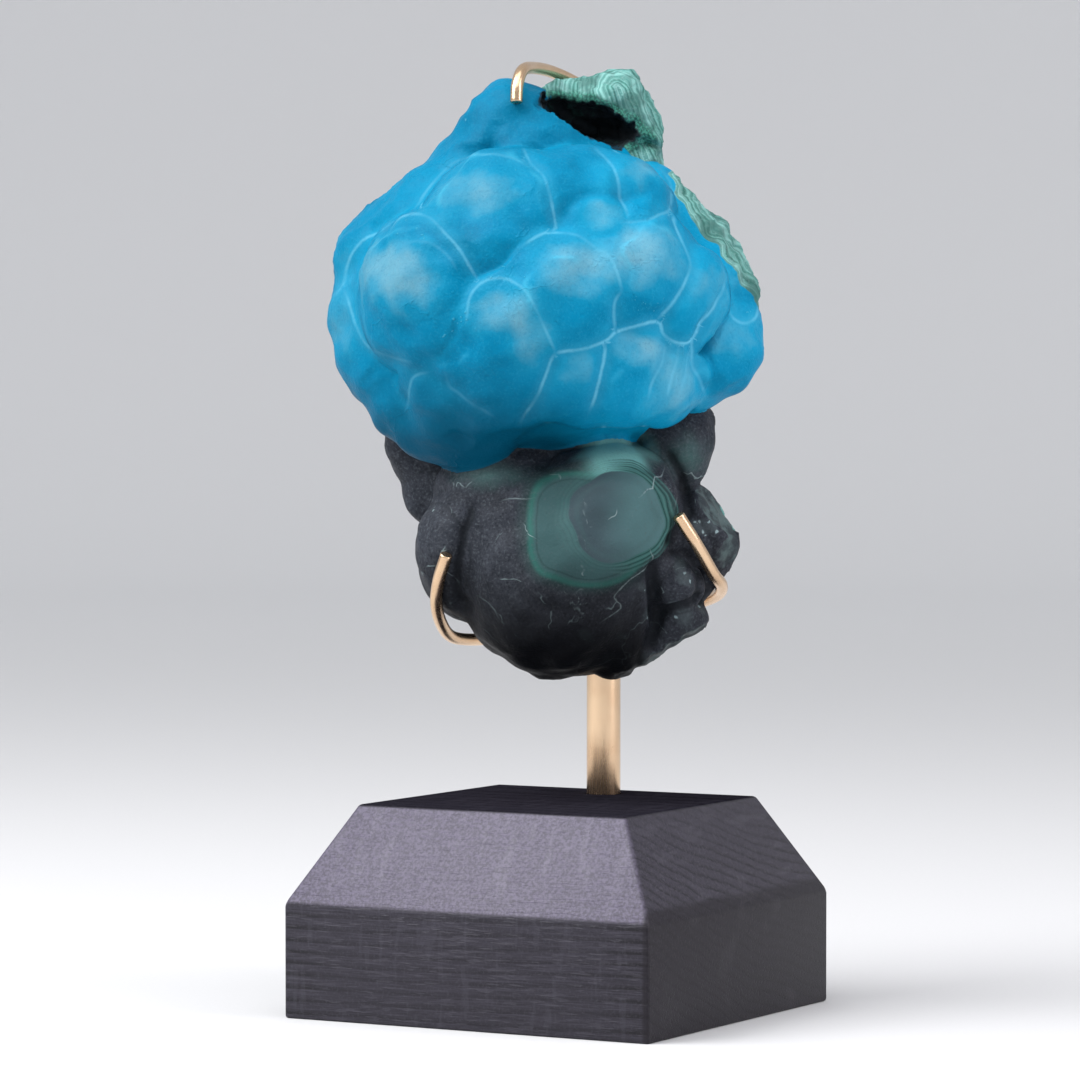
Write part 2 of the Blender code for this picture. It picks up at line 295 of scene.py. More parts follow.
def skin_distances(points):
    """Bubbles that share a skin flow together; one uneven column for each skin."""
    distances = all_distances(points)
    columns = []
    for number in range(len(skin_number)):
        mine = distances[:, skin_of == number]
        if mine.shape[1] > 1:
            column = soft_smallest(mine, SKIN_SOFT) + SKIN_SHRINK
        else:
            column = mine[:, 0]
        columns.append(column + SKIN_WANDER * waves(points, 11, 40 + number, 4))
    return np.stack(columns, axis=1)


def chip_distance(points):
    """Above zero where a chip took stone away."""
    deepest = np.full(len(points), -99.0)
    for point, normal, reach in CHIPS:
        away = points - np.array(point, float)
        above = away @ unit(normal)
        aside = np.sqrt(np.maximum((away ** 2).sum(axis=1) - above ** 2, 0))
        deepest = np.maximum(deepest, above - np.maximum(aside - reach, 0) * CHIP_FLARE)
    return deepest + CHIP_WANDER * waves(points, 5, 12)


skin_kind = np.array([kinds[skins == name][0] for name in skin_number])


def grown_distance(points, skin_away):
    """The stone as it grew, before anything broke off."""
    halves = []
    for kind in ("crust", "foot"):
        cores = [core_distance(points, core) for core in CORES[kind]]
        grown = np.concatenate([skin_away[:, skin_kind == kind], np.stack(cores, axis=1)], axis=1)
        halves.append(soft_smallest(grown, CREASE_SOFT[kind]) + CREASE_SHRINK[kind])
    return soft_smallest(np.stack(halves, axis=1), LIP_SOFT)


def stone_parts(points):
    """Distances to the grown stone, the shell, the breaks and the hollow."""
    skin_away = skin_distances(points)
    return {
        "skins": skin_away,
        "grown": grown_distance(points, skin_away),
        "shell": skin_away[:, skin_number["shell"]],
        "slant": points @ BREAK_NORMAL_UNIT - BREAK_LEVEL,
        "back": points @ BACK_NORMAL - BACK_FACE_Y,
        "hollow": hollow_distance(points),
        "chips": chip_distance(points),
    }


def stone_distance(points):
    part = stone_parts(points)
    main = np.maximum(np.maximum(part["grown"], part["slant"]), part["chips"])
    whole = soft_smallest(np.stack([main, part["shell"]], axis=1), SHELL_SOFT)
    return np.maximum(np.maximum(whole, part["back"]), -part["hollow"])


print("soft creases, mm:", CREASE_SOFT)

# %% [markdown]
# ## From coarse solid to fine skin
#
# The solid model of the stone has large faces, and its mesh is a loose heap of
# triangles. A copy of it is merged and given an even, fine net of small faces
# by a voxel remesh.

# %% Fine copy of the stone
FINE_VOXEL = 0.75 * MM


def merged_copy(node, name):
    """A welded copy of a node's loose triangles."""
    shape = bmesh.new()
    shape.from_mesh(node.data)
    bmesh.ops.remove_doubles(shape, verts=shape.verts, dist=0.00001)
    mesh = bpy.data.meshes.new(name)
    shape.to_mesh(mesh)
    shape.free()
    return mesh


def new_piece(name, mesh):
    piece = bpy.data.objects.new(name, mesh)
    bpy.context.scene.collection.objects.link(piece)
    return piece


def apply_modifiers(piece):
    """Bakes an object's modifiers into its mesh."""
    graph = bpy.context.evaluated_depsgraph_get()
    graph.update()
    baked = bpy.data.meshes.new_from_object(piece.evaluated_get(graph))
    piece.modifiers.clear()
    piece.data = baked
    return piece


stone = new_piece("malachite_stone", merged_copy(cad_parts["malachite_specimen"], "stone"))
remesh = stone.modifiers.new("Fine net", "REMESH")
remesh.mode = "VOXEL"
remesh.voxel_size = FINE_VOXEL
apply_modifiers(stone)
print(len(stone.data.vertices), "points in the fine net")

# %% [markdown]
# The remesh rounds everything off a little. So each point is slid along the
# slope of the distance until it lies exactly on the stone. Turned into the
# face's own directions, the points are called places from here on.

# %% Slide the points onto the stone
TURN = np.array([
    [math.cos(STONE_TURN), math.sin(STONE_TURN), 0.0],
    [math.sin(STONE_TURN), -math.cos(STONE_TURN), 0.0],
    [0.0, 0.0, 1.0],
])
SLOPE_STEP = 0.05
SLIDES, LONGEST_SLIDE, LEAST_SLOPE = 3, 0.6, 0.3


def read_points(mesh):
    flat = np.empty(len(mesh.vertices) * 3)
    mesh.vertices.foreach_get("co", flat)
    return flat.reshape(-1, 3)


def write_points(mesh, points):
    mesh.vertices.foreach_set("co", points.astype(np.float32).ravel())
    mesh.update()


def slope(points):
    """Which way the distance grows fastest, and how fast."""
    columns = []
    for axis in range(3):
        step = np.zeros(3)
        step[axis] = SLOPE_STEP
        ahead, behind = stone_distance(points + step), stone_distance(points - step)
        columns.append((ahead - behind) / (2 * SLOPE_STEP))
    return np.stack(columns, axis=1)


places = read_points(stone.data) @ TURN.T / MM
for turn in range(SLIDES):
    off = stone_distance(places)
    way = slope(places)
    steep = np.maximum((way ** 2).sum(axis=1), LEAST_SLOPE)
    places -= np.clip(off / steep, -LONGEST_SLIDE, LONGEST_SLIDE)[:, None] * way
print("still off by", round(float(np.abs(stone_distance(places)).mean()), 4), "mm")

# %% [markdown]
# ## Lines drawn on the broad face
#
# Some borders are easier to draw than to work out, such as the edge of a break
# or the seam between two bubbles. Each is a short list of points across and up
# the broad face, joined by a smooth curve. For any spot, one function tells how
# far the line is and on which side of it the spot lies. The side is a sign, so
# a thin line can be found later between two points of the net.

# %% Distance to a drawn line
LINE_STEP = 0.8
END_FADE = 3.0


def smooth_route(points, step):
    """Points a step apart along a smooth curve through the given ones."""
    ends = [points[0] * 2 - points[1]] + points + [points[-1] * 2 - points[-2]]
    route = [points[0]]
    for index in range(1, len(ends) - 2):
        before, start, stop, after = ends[index - 1:index + 3]
        count = max(1, round((stop - start).length / (step * MM)))
        for turn in range(1, count + 1):
            t = turn / count
            route.append(0.5 * (
                2 * start
                + (stop - before) * t
                + (2 * before - 5 * start + 4 * stop - after) * t ** 2
                + (3 * start - before - 3 * stop + after) * t ** 3
            ))
    return route


def beside(spots, points):
    """Distance to a drawn line, its side as a sign, and a fade near its ends."""
    route = smooth_route([Vector((*point, 0.0)) * MM for point in points], LINE_STEP)
    line = np.array(route)[:, :2] / MM
    lengths = np.linalg.norm(np.diff(line, axis=0), axis=1)
    whole, passed = lengths.sum(), 0.0
    near, side, fade = np.full(len(spots), 99.0), np.full(len(spots), 99.0), np.zeros(len(spots))
    for start, stop, length in zip(line, line[1:], lengths):
        way = (stop - start) / length
        along = np.clip((spots - start) @ way, 0, length)
        off = spots - start - along[:, None] * way
        far = np.linalg.norm(off, axis=1)
        closer = far < near
        turned = np.where(way[0] * off[:, 1] - way[1] * off[:, 0] < 0, -far, far)
        to_end = np.minimum(passed + along, whole - passed - along)
        near, side = np.where(closer, far, near), np.where(closer, turned, side)
        fade = np.where(closer, np.clip(0.2 + to_end / END_FADE, 0, 1), fade)
        passed += length
    return near, side, fade


print("a line is followed in steps of", LINE_STEP, "mm")

# %% [markdown]
# ## What lies where
#
# The paint needs to know more than the shape does. Each point of the skin gets
# a few numbers that the materials read as attributes:
#
# - how much it belongs to the blue crust, a broken face or the hollow,
# - how far it is from the nearest crease between two bubbles,
# - how near it is to the top of its own bubble,
# - how deep under the old surface it lay before the stone broke, because the
#   green bands follow the layers of growth.

# %% Zones
EDGE_REACH = 4.0
# Where the crust ends at the slanting break, across and up, from its top down.
STRIP_LINE = [(21, 203), (24.6, 197), (27, 190.5), (30.7, 183.8), (36, 177.3), (40.3, 171.7),
              (45.2, 165), (47.6, 159.5)]
STRIP_END = 160.0

part = stone_parts(places)
skin_away = part["skins"].copy()
skin_away[:, skin_number["shell"]] = 99
main = np.maximum(np.maximum(part["grown"], part["slant"]), part["chips"])


def core_reach(kind):
    return np.stack([core_distance(places, core) for core in CORES[kind]], axis=1).min(axis=1)


to_crust = np.minimum(skin_away[:, skin_kind == "crust"].min(axis=1), core_reach("crust"))
to_foot = np.minimum(skin_away[:, skin_kind == "foot"].min(axis=1), core_reach("foot"))
crust_edge = np.clip(to_foot - to_crust, -EDGE_REACH, EDGE_REACH)
hollow_edge = np.clip(-part["hollow"], -EDGE_REACH, EDGE_REACH)
shell_edge = main - part["shell"]
strip_side = beside(places[:, [0, 2]], STRIP_LINE)[1] + 0.5 * waves(places, 6, 21, 5)
slant_edge = np.minimum(strip_side, (places[:, 2] - STRIP_END) / 2)
back_edge = np.where(np.abs(part["back"]) < 1.5, -part["grown"] - 0.4, -2)
broken_edge = np.clip(np.maximum(np.maximum(shell_edge, slant_edge), back_edge), -2, 2)
chip_edge = np.clip(part["chips"] - part["grown"], -2, 2)
depth = -part["grown"]
print("crust covers", round(100 * float((crust_edge > 0).mean())), "% of the skin")

# %% [markdown]
# The green bands lie as deep as their layer did. On the shell they run round a
# short spine instead, and along the slanting break they follow its edge.

# %% Layers of growth
SPINE = (np.array([13.5, 214.5]), np.array([21.5, 195.0]))
SPINE_LEAN = 0.12

flat_places = places[:, [0, 2]]
spine_way = SPINE[1] - SPINE[0]
along = np.clip(((flat_places - SPINE[0]) @ spine_way) / (spine_way @ spine_way), 0, 1)
from_spine = np.linalg.norm(flat_places - SPINE[0] - along[:, None] * spine_way, axis=1)
from_spine += SPINE_LEAN * np.abs(places[:, 1])
layer = np.where(shell_edge > 0, from_spine, np.where(strip_side > 0, strip_side, depth))
print("layers down to", round(float(layer.max()), 1), "mm")

# %% [markdown]
# Creases are thin lines between points of the mesh, so a plain distance would
# blur them: the smallest value would fall between two points. A map is the
# way out. Like countries, neighbouring skins get different numbers, each of a
# few bits. For each bit, the distance to the skins that have it, less the distance
# to those that don't, passes through zero exactly at a border, and the
# renderer finds that zero between the points by itself.

# %% Creases as borders on a map
TOUCH_REACH, BORDER_REACH = 1.5, 6

skin_count = len(skin_number)
ranked = np.argsort(skin_away, axis=1)[:, :2]
touching = np.abs(skin_away[np.arange(len(places)), ranked[:, 1]]) < TOUCH_REACH
neighbours = np.zeros((skin_count, skin_count), bool)
neighbours[ranked[touching, 0], ranked[touching, 1]] = True
neighbours |= neighbours.T
number_of = np.full(skin_count, -1)
for index in np.argsort(-neighbours.sum(axis=1)):
    taken = set(number_of[neighbours[index]])
    number_of[index] = next(value for value in range(8) if value not in taken)
borders = []
for bit in range(int(number_of[skin_kind != "shell"].max()).bit_length()):
    has = (number_of >> bit & 1).astype(bool)
    here = has & (skin_kind != "shell")
    there = ~has & (skin_kind != "shell")
    difference = skin_away[:, here].min(axis=1) - skin_away[:, there].min(axis=1)
    borders.append(np.clip(difference, -BORDER_REACH, BORDER_REACH))
print("numbers used:", sorted(set(number_of.tolist())))

# %% [markdown]
# The crust is paler near the crown of a bubble, partly as milkier crust and
# partly as a painted highlight, and darker low on it as painted shade. Crown is
# 1 at a bubble's middle, seen along the way it grew and moved a little towards
# the light, and 0 at its edge. Near a border the values of both bubbles are
# mixed, so that nothing jumps there.

# %% Crowns of the bubbles
LIGHT_SIDE = unit((-0.25, 0.35, 0.9))
CROWN_SHIFT = 0.28
CROWN_MIXING = 0.6
# How much milky haze and painted highlight each kind of rim bubble loses.
HAZE_AND_HIGHLIGHT_LOSS = {"rim": 0.35, "lip": 0.3, "flank": 0.25, "belly": 0.12, "ridge": 0.3, "ear": 0.05}

to_bubble = all_distances(places)
to_bubble[:, kinds == "shell"] = 99
share = np.exp(-(to_bubble - to_bubble.min(axis=1)[:, None]) / CROWN_MIXING)
share /= share.sum(axis=1)[:, None]
crown = np.zeros(len(places))
for index, bubble in enumerate(bubbles):
    growth = bubble["growth"]
    away = places - bubble["middle"]
    aside = away - (away @ growth)[:, None] * growth
    uphill = (LIGHT_SIDE - (LIGHT_SIDE @ growth) * growth) * CROWN_SHIFT * bubble["radius"]
    haze_and_highlight = 1 - np.linalg.norm(aside - uphill, axis=1) / bubble["radius"]
    crown += share[:, index] * (haze_and_highlight - HAZE_AND_HIGHLIGHT_LOSS.get(bubble["skin"], 0.0))
own = to_bubble.argmin(axis=1)
body = core_distance(places, (CRUST_MIDDLE, CRUST_HALF))
print("crowns from", round(float(crown.min()), 2), "to", round(float(crown.max()), 2))

# %% [markdown]
# ## Seams, furrows, haze and painted highlight
#
# Where two bubbles of the crust met, their last layers rose into a pale seam or
# left a furrow. These are drawn on the face one by one, because a computed
# border would meet its neighbours too neatly. The crust is milky and pale in the
# upper part of a bubble and clear and deep blue below it, partly its own look and
# partly a painted highlight above and painted shade below, which is a short list
# of soft patches.

# %% Tables of seams, furrows, haze and painted highlight
# Where two bubbles met: depth of the furrow (below zero it is a ridge), half
# width, how pale its line is, and points across and up the broad face.
CRUST_SEAMS = [
    (-0.15, 0.9, 0.7, [(-53.5, 165.5), (-50.5, 168.5), (-49, 174), (-45.5, 179), (-40, 181.5),
                       (-36, 184), (-32.5, 184.5), (-29.5, 183.5), (-26, 180), (-22.5, 176),
                       (-19, 170)]),
    (-0.12, 0.9, 0.6, [(-50.5, 168.5), (-48.5, 164.5), (-46.5, 159), (-44, 155), (-39.5, 152.5),
                       (-34, 151)]),
    (-0.15, 0.9, 0.35, [(-34.5, 178), (-31.5, 178), (-28, 177), (-25, 174.5), (-23.5, 172)]),
    (-0.20, 1.1, 0.5, [(-21, 160), (-20.5, 164.5), (-18.5, 168), (-16, 169.5), (-12, 169.5),
                       (-8, 167), (-5.5, 163), (-3.5, 158.5), (-1, 153)]),
    (0.70, 2.0, 0.5, [(-35.5, 140), (-35, 144), (-33.5, 147.5), (-30, 148.5)]),
    (0.80, 2.2, 0.4, [(-26, 149), (-25.5, 145.5), (-23.5, 144), (-20, 141), (-15, 138.5)]),
    (1.20, 2.4, 0.8, [(-1, 152.5), (-2, 150.5), (-3.5, 146.5), (-5.5, 142), (-9, 137)]),
    (0.50, 1.2, 0.6, [(-8.5, 200), (-6.5, 196), (-4, 193.5), (-2.5, 189.5), (-1.5, 185),
                      (-1, 181.5), (-2.5, 180)]),
    (0.90, 1.6, 0.0, [(0, 182), (2, 186.5), (6, 189), (10.5, 189.5), (15, 188.5), (18.5, 189),
                      (21, 191)]),
    (0.50, 1.2, 0.5, [(7, 201), (10.5, 197.5), (12.5, 194.5), (14, 189.5), (15.5, 183.5)]),
    (0.35, 0.9, 0.6, [(14.5, 182.5), (19.5, 183), (22.5, 184.5), (25.5, 186), (26, 189),
                      (25.5, 192.5), (23.5, 195.5)]),
    (-0.15, 1.0, 0.6, [(-9, 176.5), (-6, 178.5), (-2.5, 180), (3.5, 179.5), (7.5, 177),
                       (11, 174.5), (12.5, 171.5), (14, 167)]),
    (0.90, 1.8, 0.6, [(14, 167), (12.5, 164), (12.5, 159.5), (13, 157.5)]),
    (1.00, 1.8, 1.0, [(-1, 152.5), (5, 153.5), (10.5, 155.5), (13, 157.5), (17, 158.5),
                      (22.5, 159.5), (23.5, 157), (26.5, 155), (30.5, 155), (32, 157),
                      (33.5, 161.5)]),
    (1.00, 1.8, 0.7, [(22.5, 160), (24.5, 162.5), (27, 166), (29, 170), (30, 173.5),
                      (28.5, 178.5), (27, 182), (26, 186.5)]),
    (0.90, 1.4, 0.7, [(38.5, 172), (38.5, 169), (36, 164), (32.5, 158.5), (31, 154.5),
                      (31, 150), (32.5, 146), (33.5, 143)]),
    (1.20, 2.2, 0.9, [(10.5, 155), (10, 150), (8, 142.5), (6.5, 139)]),
    (0.90, 1.8, 0.5, [(24, 155), (23.5, 151), (21.5, 147), (20, 143)]),
    (0.25, 0.7, 0.7, [(27, 154), (26.5, 150.5), (24.5, 143)]),
    (0.20, 0.7, 0.6, [(29.5, 153), (29, 149), (27.5, 144)]),
    (-0.15, 1.0, 0.45, [(-33.8, 185.2), (-29, 192.3), (-23.6, 197), (-17, 198), (-11, 197),
                        (-6.5, 194.8)]),
    (0.90, 1.4, 0.0, [(39.5, 168), (41.5, 166), (43.5, 165.3), (45, 162.8)]),
    (-0.15, 0.9, 0.7, [(38.3, 163.3), (39.8, 160.8), (42.3, 159.8), (45, 161), (46.3, 164)]),
]
# Milky haze and painted highlight on the bubbles, and below zero the deep clear
# blue between, partly painted shade: where across and up its middle lies, half its
# width and height, and how strong it is.
CRUST_HAZE_AND_HIGHLIGHT = [
    (-38.1, 171.8, 10.5, 8.5, 1.0),
    (-31, 166, 8, 6, 0.45),
    (-45, 157, 7, 6, 0.15),
    (-49.5, 164, 4.5, 14, 0.75),
    (-33, 152, 9, 5, -0.1),
    (-19, 189, 14, 8, 0.85),
    (-22, 177.5, 6, 5, -0.3),
    (-8, 182.5, 5, 4, -0.3),
    (4, 172, 11, 8.5, 1.0),
    (5, 158.8, 8, 3.6, 0.1),
    (19.5, 175.5, 9, 9, 1.0),
    (18, 164, 6, 3.5, -0.2),
    (19.1, 195, 6, 4.3, 0.7),
    (8.4, 193.5, 6.4, 4.5, 0.35),
    (8.6, 184.8, 6, 4.2, 0.85),
    (-14, 163, 8, 6.5, 0.8),
    (-7, 157, 5, 10, 0.8),
    (3.6, 150.8, 5.5, 4.2, 0.55),
    (18.5, 154.5, 8, 5, 1.0),
    (26, 145.5, 8, 10, 0.9),
    (38.5, 157, 9, 8, 0.6),
    (33, 169, 9, 7, 0.65),
    (38.4, 145.8, 6, 3.5, -0.3),
    (-32, 145, 7, 5, -0.35),
    (-20, 143, 10, 6, -0.3),
    (6, 146, 7, 6, 0.35),
    (-15, 204, 14, 6, -0.2),
]
FOOT_FURROWS = [
    (1.2, 1.2, 0.0, [(-21, 119), (-20.5, 116.5), (-22, 112), (-22.5, 108), (-23.5, 103.5),
                     (-23.5, 98), (-21, 94.5)]),
    (0.5, 1.8, 0.0, [(-6.5, 122.5), (-8.5, 116.5), (-9, 109.5), (-9.5, 101), (-7.5, 95)]),
    (0.6, 1.8, 0.0, [(-7.5, 96.5), (-2, 95.5), (4.5, 95), (10.5, 97), (15, 100), (21, 104)]),
    (2.2, 1.3, 0.0, [(21.5, 106), (21.6, 100), (22, 95.5), (22.5, 91), (21.5, 88), (21, 84)]),
    (1.8, 1.1, 0.0, [(22, 93), (25, 94), (29, 95.3), (32.5, 96.8), (34.5, 98.5)]),
    (1.2, 1.2, 0.0, [(24, 131.5), (26, 128.5), (28.5, 124), (29.5, 120), (29.5, 116),
                     (27, 112), (24, 108)]),
    (0.6, 0.9, 0.0, [(30, 117.5), (32.5, 114), (34, 111.5), (35.5, 108.5), (34.5, 105)]),
    (0.6, 0.9, 0.0, [(21.5, 89), (19.5, 85.5), (17, 82.5)]),
    (0.8, 1.0, 0.0, [(22.5, 103.5), (24.5, 106.5), (28, 107.5), (31, 105), (32, 100),
                     (31, 95.5)]),
    (0.5, 0.9, 0.0, [(-31.5, 119), (-29, 120.5), (-25.5, 121.5), (-21, 120.5)]),
]
FOOT_CRACKS = [
    (0.05, 0.3, 0.9, [(24, 126.5), (23, 124.5), (21.5, 124.5), (21, 122), (20, 122), (18.5, 120.5)]),
    (0.05, 0.3, 0.9, [(20.5, 108), (21.5, 105.5), (18, 102.5), (16.5, 101.5), (13.5, 98.5),
                     (12.5, 97), (14, 95), (9.5, 92)]),
    (0.05, 0.3, 0.7, [(27, 120), (26.5, 117.5)]),
    (0.05, 0.3, 0.6, [(-13, 119.3), (-11, 119.8), (-6.5, 120)]),
    (0.05, 0.3, 0.5, [(-19, 97.5), (-16, 95.5), (-13.5, 92)]),
]
# The crown under the drawn haze and painted highlight, and how far they raise or lower it.
HAZE_AND_HIGHLIGHT_MIDDLE, HAZE_AND_HIGHLIGHT_SPAN = 0.24, 0.60
print(len(CRUST_SEAMS), "seams,", len(FOOT_FURROWS), "furrows,", len(FOOT_CRACKS), "cracks")

# %% [markdown]
# ## Small relief
#
# Real bubbles are not perfect balls. Slow waves a centimetre or so long make
# them uneven, finer ones roughen the skin, and a few outer layers end in a low
# step where the last growth stopped. Each step is a ring around the way its
# bubble grew, and only its upper side shows.

# %% Waves and steps in the skin
# Outer layers that end in a step: bubble, ring radius and height of the step.
GROWTH_STEPS = [(0, 13.5, 0.30), (1, 11.5, 0.2), (5, 9.0, 0.25), (4, 9.5, 0.2), (10, 8.0, 0.3),
                (11, 5.5, 0.35), (7, 10.0, 0.2), (9, 8.0, 0.2)]
STEP_EDGE, STEP_LINE = 0.9, 1.1
SLOW_WAVE, MIDDLE_WAVE, FINE_WAVE, CRYSTAL_WAVE = 13, 5, 1.9, 1.2

normals = slope(places)
normals /= np.linalg.norm(normals, axis=1)[:, None] + 1e-9
slow = waves(places, SLOW_WAVE, 1)
middle_waves = waves(places, MIDDLE_WAVE, 2)
fine = waves(places, FINE_WAVE, 3)
step_lift = np.zeros(len(places))
step_line = np.zeros(len(places))
for index, ring, height in GROWTH_STEPS:
    away = places - bubbles[index]["middle"]
    along = away @ bubbles[index]["growth"]
    aside = np.sqrt(np.maximum((away ** 2).sum(axis=1) - along ** 2, 0))
    edge = ring + 0.9 * middle_waves + 0.8 * slow - aside
    upper = np.clip(0.5 + (away[:, 2] - 0.4 * away[:, 0]) / ring, 0, 1)
    mine = (own == index) * (along > 0) * upper
    step_lift += mine * height * np.clip(edge / STEP_EDGE + 0.5, 0, 1)
    step_line = np.maximum(step_line, mine * np.clip(1 - np.abs(edge) / STEP_LINE, 0, 1))
print(len(GROWTH_STEPS), "steps, up to", round(float(step_lift.max()), 2), "mm high")

# %% [markdown]
# Only points that face the viewer of the broad face get the drawn lines. The
# nearest pale line is kept as a distance and a side, and all the furrows add
# up. The milky haze with its painted highlight and shade is a sum of soft
# patches that replaces the computed crown there.

# %% Lines, haze and painted highlight on the broad face
BROAD_FACE_Y = -10
HAZE_AND_HIGHLIGHT_REACH, HAZE_AND_HIGHLIGHT_MOST = 1.45, 1.15

facing = np.clip((normals[:, 1] - 0.08) / 0.2, 0, 1) * (places[:, 1] > BROAD_FACE_Y)
front = np.flatnonzero(facing > 0)
on_face = places[front][:, [0, 2]]
line_near, line_side = np.full(len(places), 9.0), np.full(len(places), 9.0)
line_pale, furrow = np.zeros(len(places)), np.zeros(len(places))
for table, mine in ((CRUST_SEAMS, crust_edge > -0.3), (FOOT_FURROWS, crust_edge < 0.3),
                    (FOOT_CRACKS, crust_edge < 0)):
    for depth_of, half, paleness, points in table:
        near, side, fade = beside(on_face, points)
        strength = fade * facing[front] * mine[front]
        furrow[front] += depth_of * strength * np.exp(-(near / half) ** 2)
        closer = (near < line_near[front]) & (paleness > 0) & mine[front]
        chosen = front[closer]
        line_near[chosen], line_side[chosen] = near[closer], side[closer]
        line_pale[chosen] = (paleness * strength)[closer]
line_side = np.clip(line_side, -3, 3)

haze_and_highlight = np.zeros(len(front))
for across, up, half_width, half_height, strength in CRUST_HAZE_AND_HIGHLIGHT:
    aside = (on_face[:, 0] - across + 1.2 * slow[front]) / half_width
    above = (on_face[:, 1] - up + 1.2 * middle_waves[front]) / half_height
    inside = np.clip(1 - np.hypot(aside, above) / HAZE_AND_HIGHLIGHT_REACH, 0, 1)
    haze_and_highlight += strength * inside ** 2 * (3 - 2 * inside)
drawn_crown = HAZE_AND_HIGHLIGHT_MIDDLE + HAZE_AND_HIGHLIGHT_SPAN * np.clip(haze_and_highlight, -1, HAZE_AND_HIGHLIGHT_MOST)
crown[front] += facing[front] * (drawn_crown - crown[front])
print(len(front), "points face the viewer")

# %% [markdown]
# Broken faces show the bands as fine ledges, and the hollow is lined with small
# crystals. The shelf just inside the hollow's mouth counts as hollow too. Every
# point then moves along its own normal by the sum of all the small forms, and
# stays inside the box of the solid model.

# %% Relief
SHELF_MIDDLE, SHELF_HALF = (9, -3.5, 205.5), (6, 6.5, 2.5)


def soft_mask(edge, width=0.5):
    """0 outside a border, 1 inside, over a narrow strip."""
    return np.clip(0.5 + edge / (2 * width), 0, 1)


shelf = (np.abs(places - SHELF_MIDDLE) < SHELF_HALF).all(axis=1)
hollow_edge[shelf] = np.maximum(hollow_edge[shelf], 0.5)
broken, in_hollow = soft_mask(broken_edge), soft_mask(hollow_edge + 0.5, 0.8)
plain = (1 - broken) * (1 - in_hollow)
ledges = np.sin(depth * 3.2 + 1.5 * slow)
rim_left = np.clip((-places[:, 0] - 20) / 12, 0, 1) * np.clip((198 - places[:, 2]) / 8, 0, 1)
rough_left = rim_left * np.clip((places[:, 2] - 165) / 12, 0, 1) * (1 - facing)
lift = plain * (0.20 * slow + 0.12 * middle_waves + step_lift)
lift += plain * (0.02 + 0.14 * rough_left) * fine - (1 - broken) * furrow
lift += broken * (1 - in_hollow) * (0.40 * middle_waves + 0.20 * fine + 0.18 * ledges)
lift += in_hollow * (0.3 * fine + 0.2 * waves(places, CRYSTAL_WAVE, 4))
carved = (places + normals * lift[:, None]) @ TURN * MM
write_points(stone.data, np.clip(carved, *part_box("malachite_specimen")))
print("relief from", round(float(lift.min()), 2), "to", round(float(lift.max()), 2), "mm")

# %% [markdown]
# ## Rings on the bare bubble
#
# The large bare bubbles are worn through their dark skin, so the layers show
# as rings around the worn spot, as contour lines do around a hill. One spot is
# a grey-green disc with thin rings at its edge. The other is paler, lies left
# of the first and is partly covered by it.

# %% Distances to the worn spots
# Each spot is a middle and a radius. A tint has a reach for each direction and
# the least value it can give.
WORN_DISC = ((13.1, 27, 115.8), 11.2)
WORN_PALE = ((6.3, 30, 113.2), 12.8)
# The glow is green showing round the worn disc, painted brighter as painted light where the crust's lip
# shades it; the tints spread it, and the one on the right paints light on a bubble that the crust
# shades.
GREEN_AND_LIT_GLOW = ((13, 24, 130), 9.5)
GREEN_AND_LIT_TINTS = [((-16, 18, 125), (13, 30, 4.5), 0.98), ((29, 10, 129), (7, 14, 7), 0.95)]
SPOT_SHAPE = (1, 0.35, 1.08)


def spot_distance(spot, wobble, squareness=2):
    """1 at the spot's rim, smaller inside it."""
    away = np.linalg.norm((places - np.array(spot[0])) * SPOT_SHAPE, squareness, axis=1)
    return np.clip((away + wobble) / spot[1], 0, 3)


worn_disc = spot_distance(WORN_DISC, 0.5 * slow + 0.25 * middle_waves)
worn_pale = spot_distance(WORN_PALE, 0.5 * slow + 0.15 * middle_waves, 3)
disc_side = np.clip((places[:, 0] - WORN_DISC[0][0]) / WORN_DISC[1], -2, 2)
green_and_lit_glow = spot_distance(GREEN_AND_LIT_GLOW, 1.2 * slow + 0.8 * middle_waves)
for middle, reach, least in GREEN_AND_LIT_TINTS:
    tinted = np.linalg.norm((places - np.array(middle)) / reach, axis=1)
    green_and_lit_glow = np.minimum(green_and_lit_glow, least + 0.3 * tinted)
print("worn disc", round(2 * WORN_DISC[1], 1), "mm wide")

# %% [markdown]
# Some places of the crust are rough with small grains, and chalky marks lie on
# the bare bubbles. Both are lists of middles and reaches. The chalky ones are
# drawn on the broad face, so they need no depth.

# %% Rough and chalky places
ROUGH_PLACES = [((-36, 30, 181), 8), ((-25, 38, 160), 6), ((20, 36, 163), 7), ((-12, 38, 171), 6),
                ((44, 14, 164), 6), ((-14, 30, 207), 4)]
CHALK_PLACES = [((36.5, 113.7), 3.0), ((32.4, 113), 2.0), ((27.3, 104.6), 1.8), ((28.2, 100.9), 2.2),
                ((18.9, 99.8), 1.6), ((20.3, 93.3), 2.0), ((25.5, 95.8), 1.6), ((28.7, 92.1), 3.2),
                ((33.6, 95.3), 2.6), ((13.8, 88.8), 1.6), ((6.3, 88.4), 1.6), ((18.7, 81.4), 3.4),
                ((11.9, 83.3), 1.6)]
SPOT_FADE = 1.3


def spotted(points, spots, wobble=0.0):
    """1 in the middle of each spot, 0 a little beyond its reach."""
    share = np.zeros(len(points))
    for middle, reach in spots:
        away = np.linalg.norm(points - np.array(middle, float), axis=1) + wobble
        share = np.maximum(share, np.clip(SPOT_FADE - away / reach, 0, 1))
    return share


granular = spotted(places, ROUGH_PLACES)
chalk = facing * spotted(places[:, [0, 2]], CHALK_PLACES, 0.8 * middle_waves)
print(len(ROUGH_PLACES), "rough and", len(CHALK_PLACES), "chalky places")

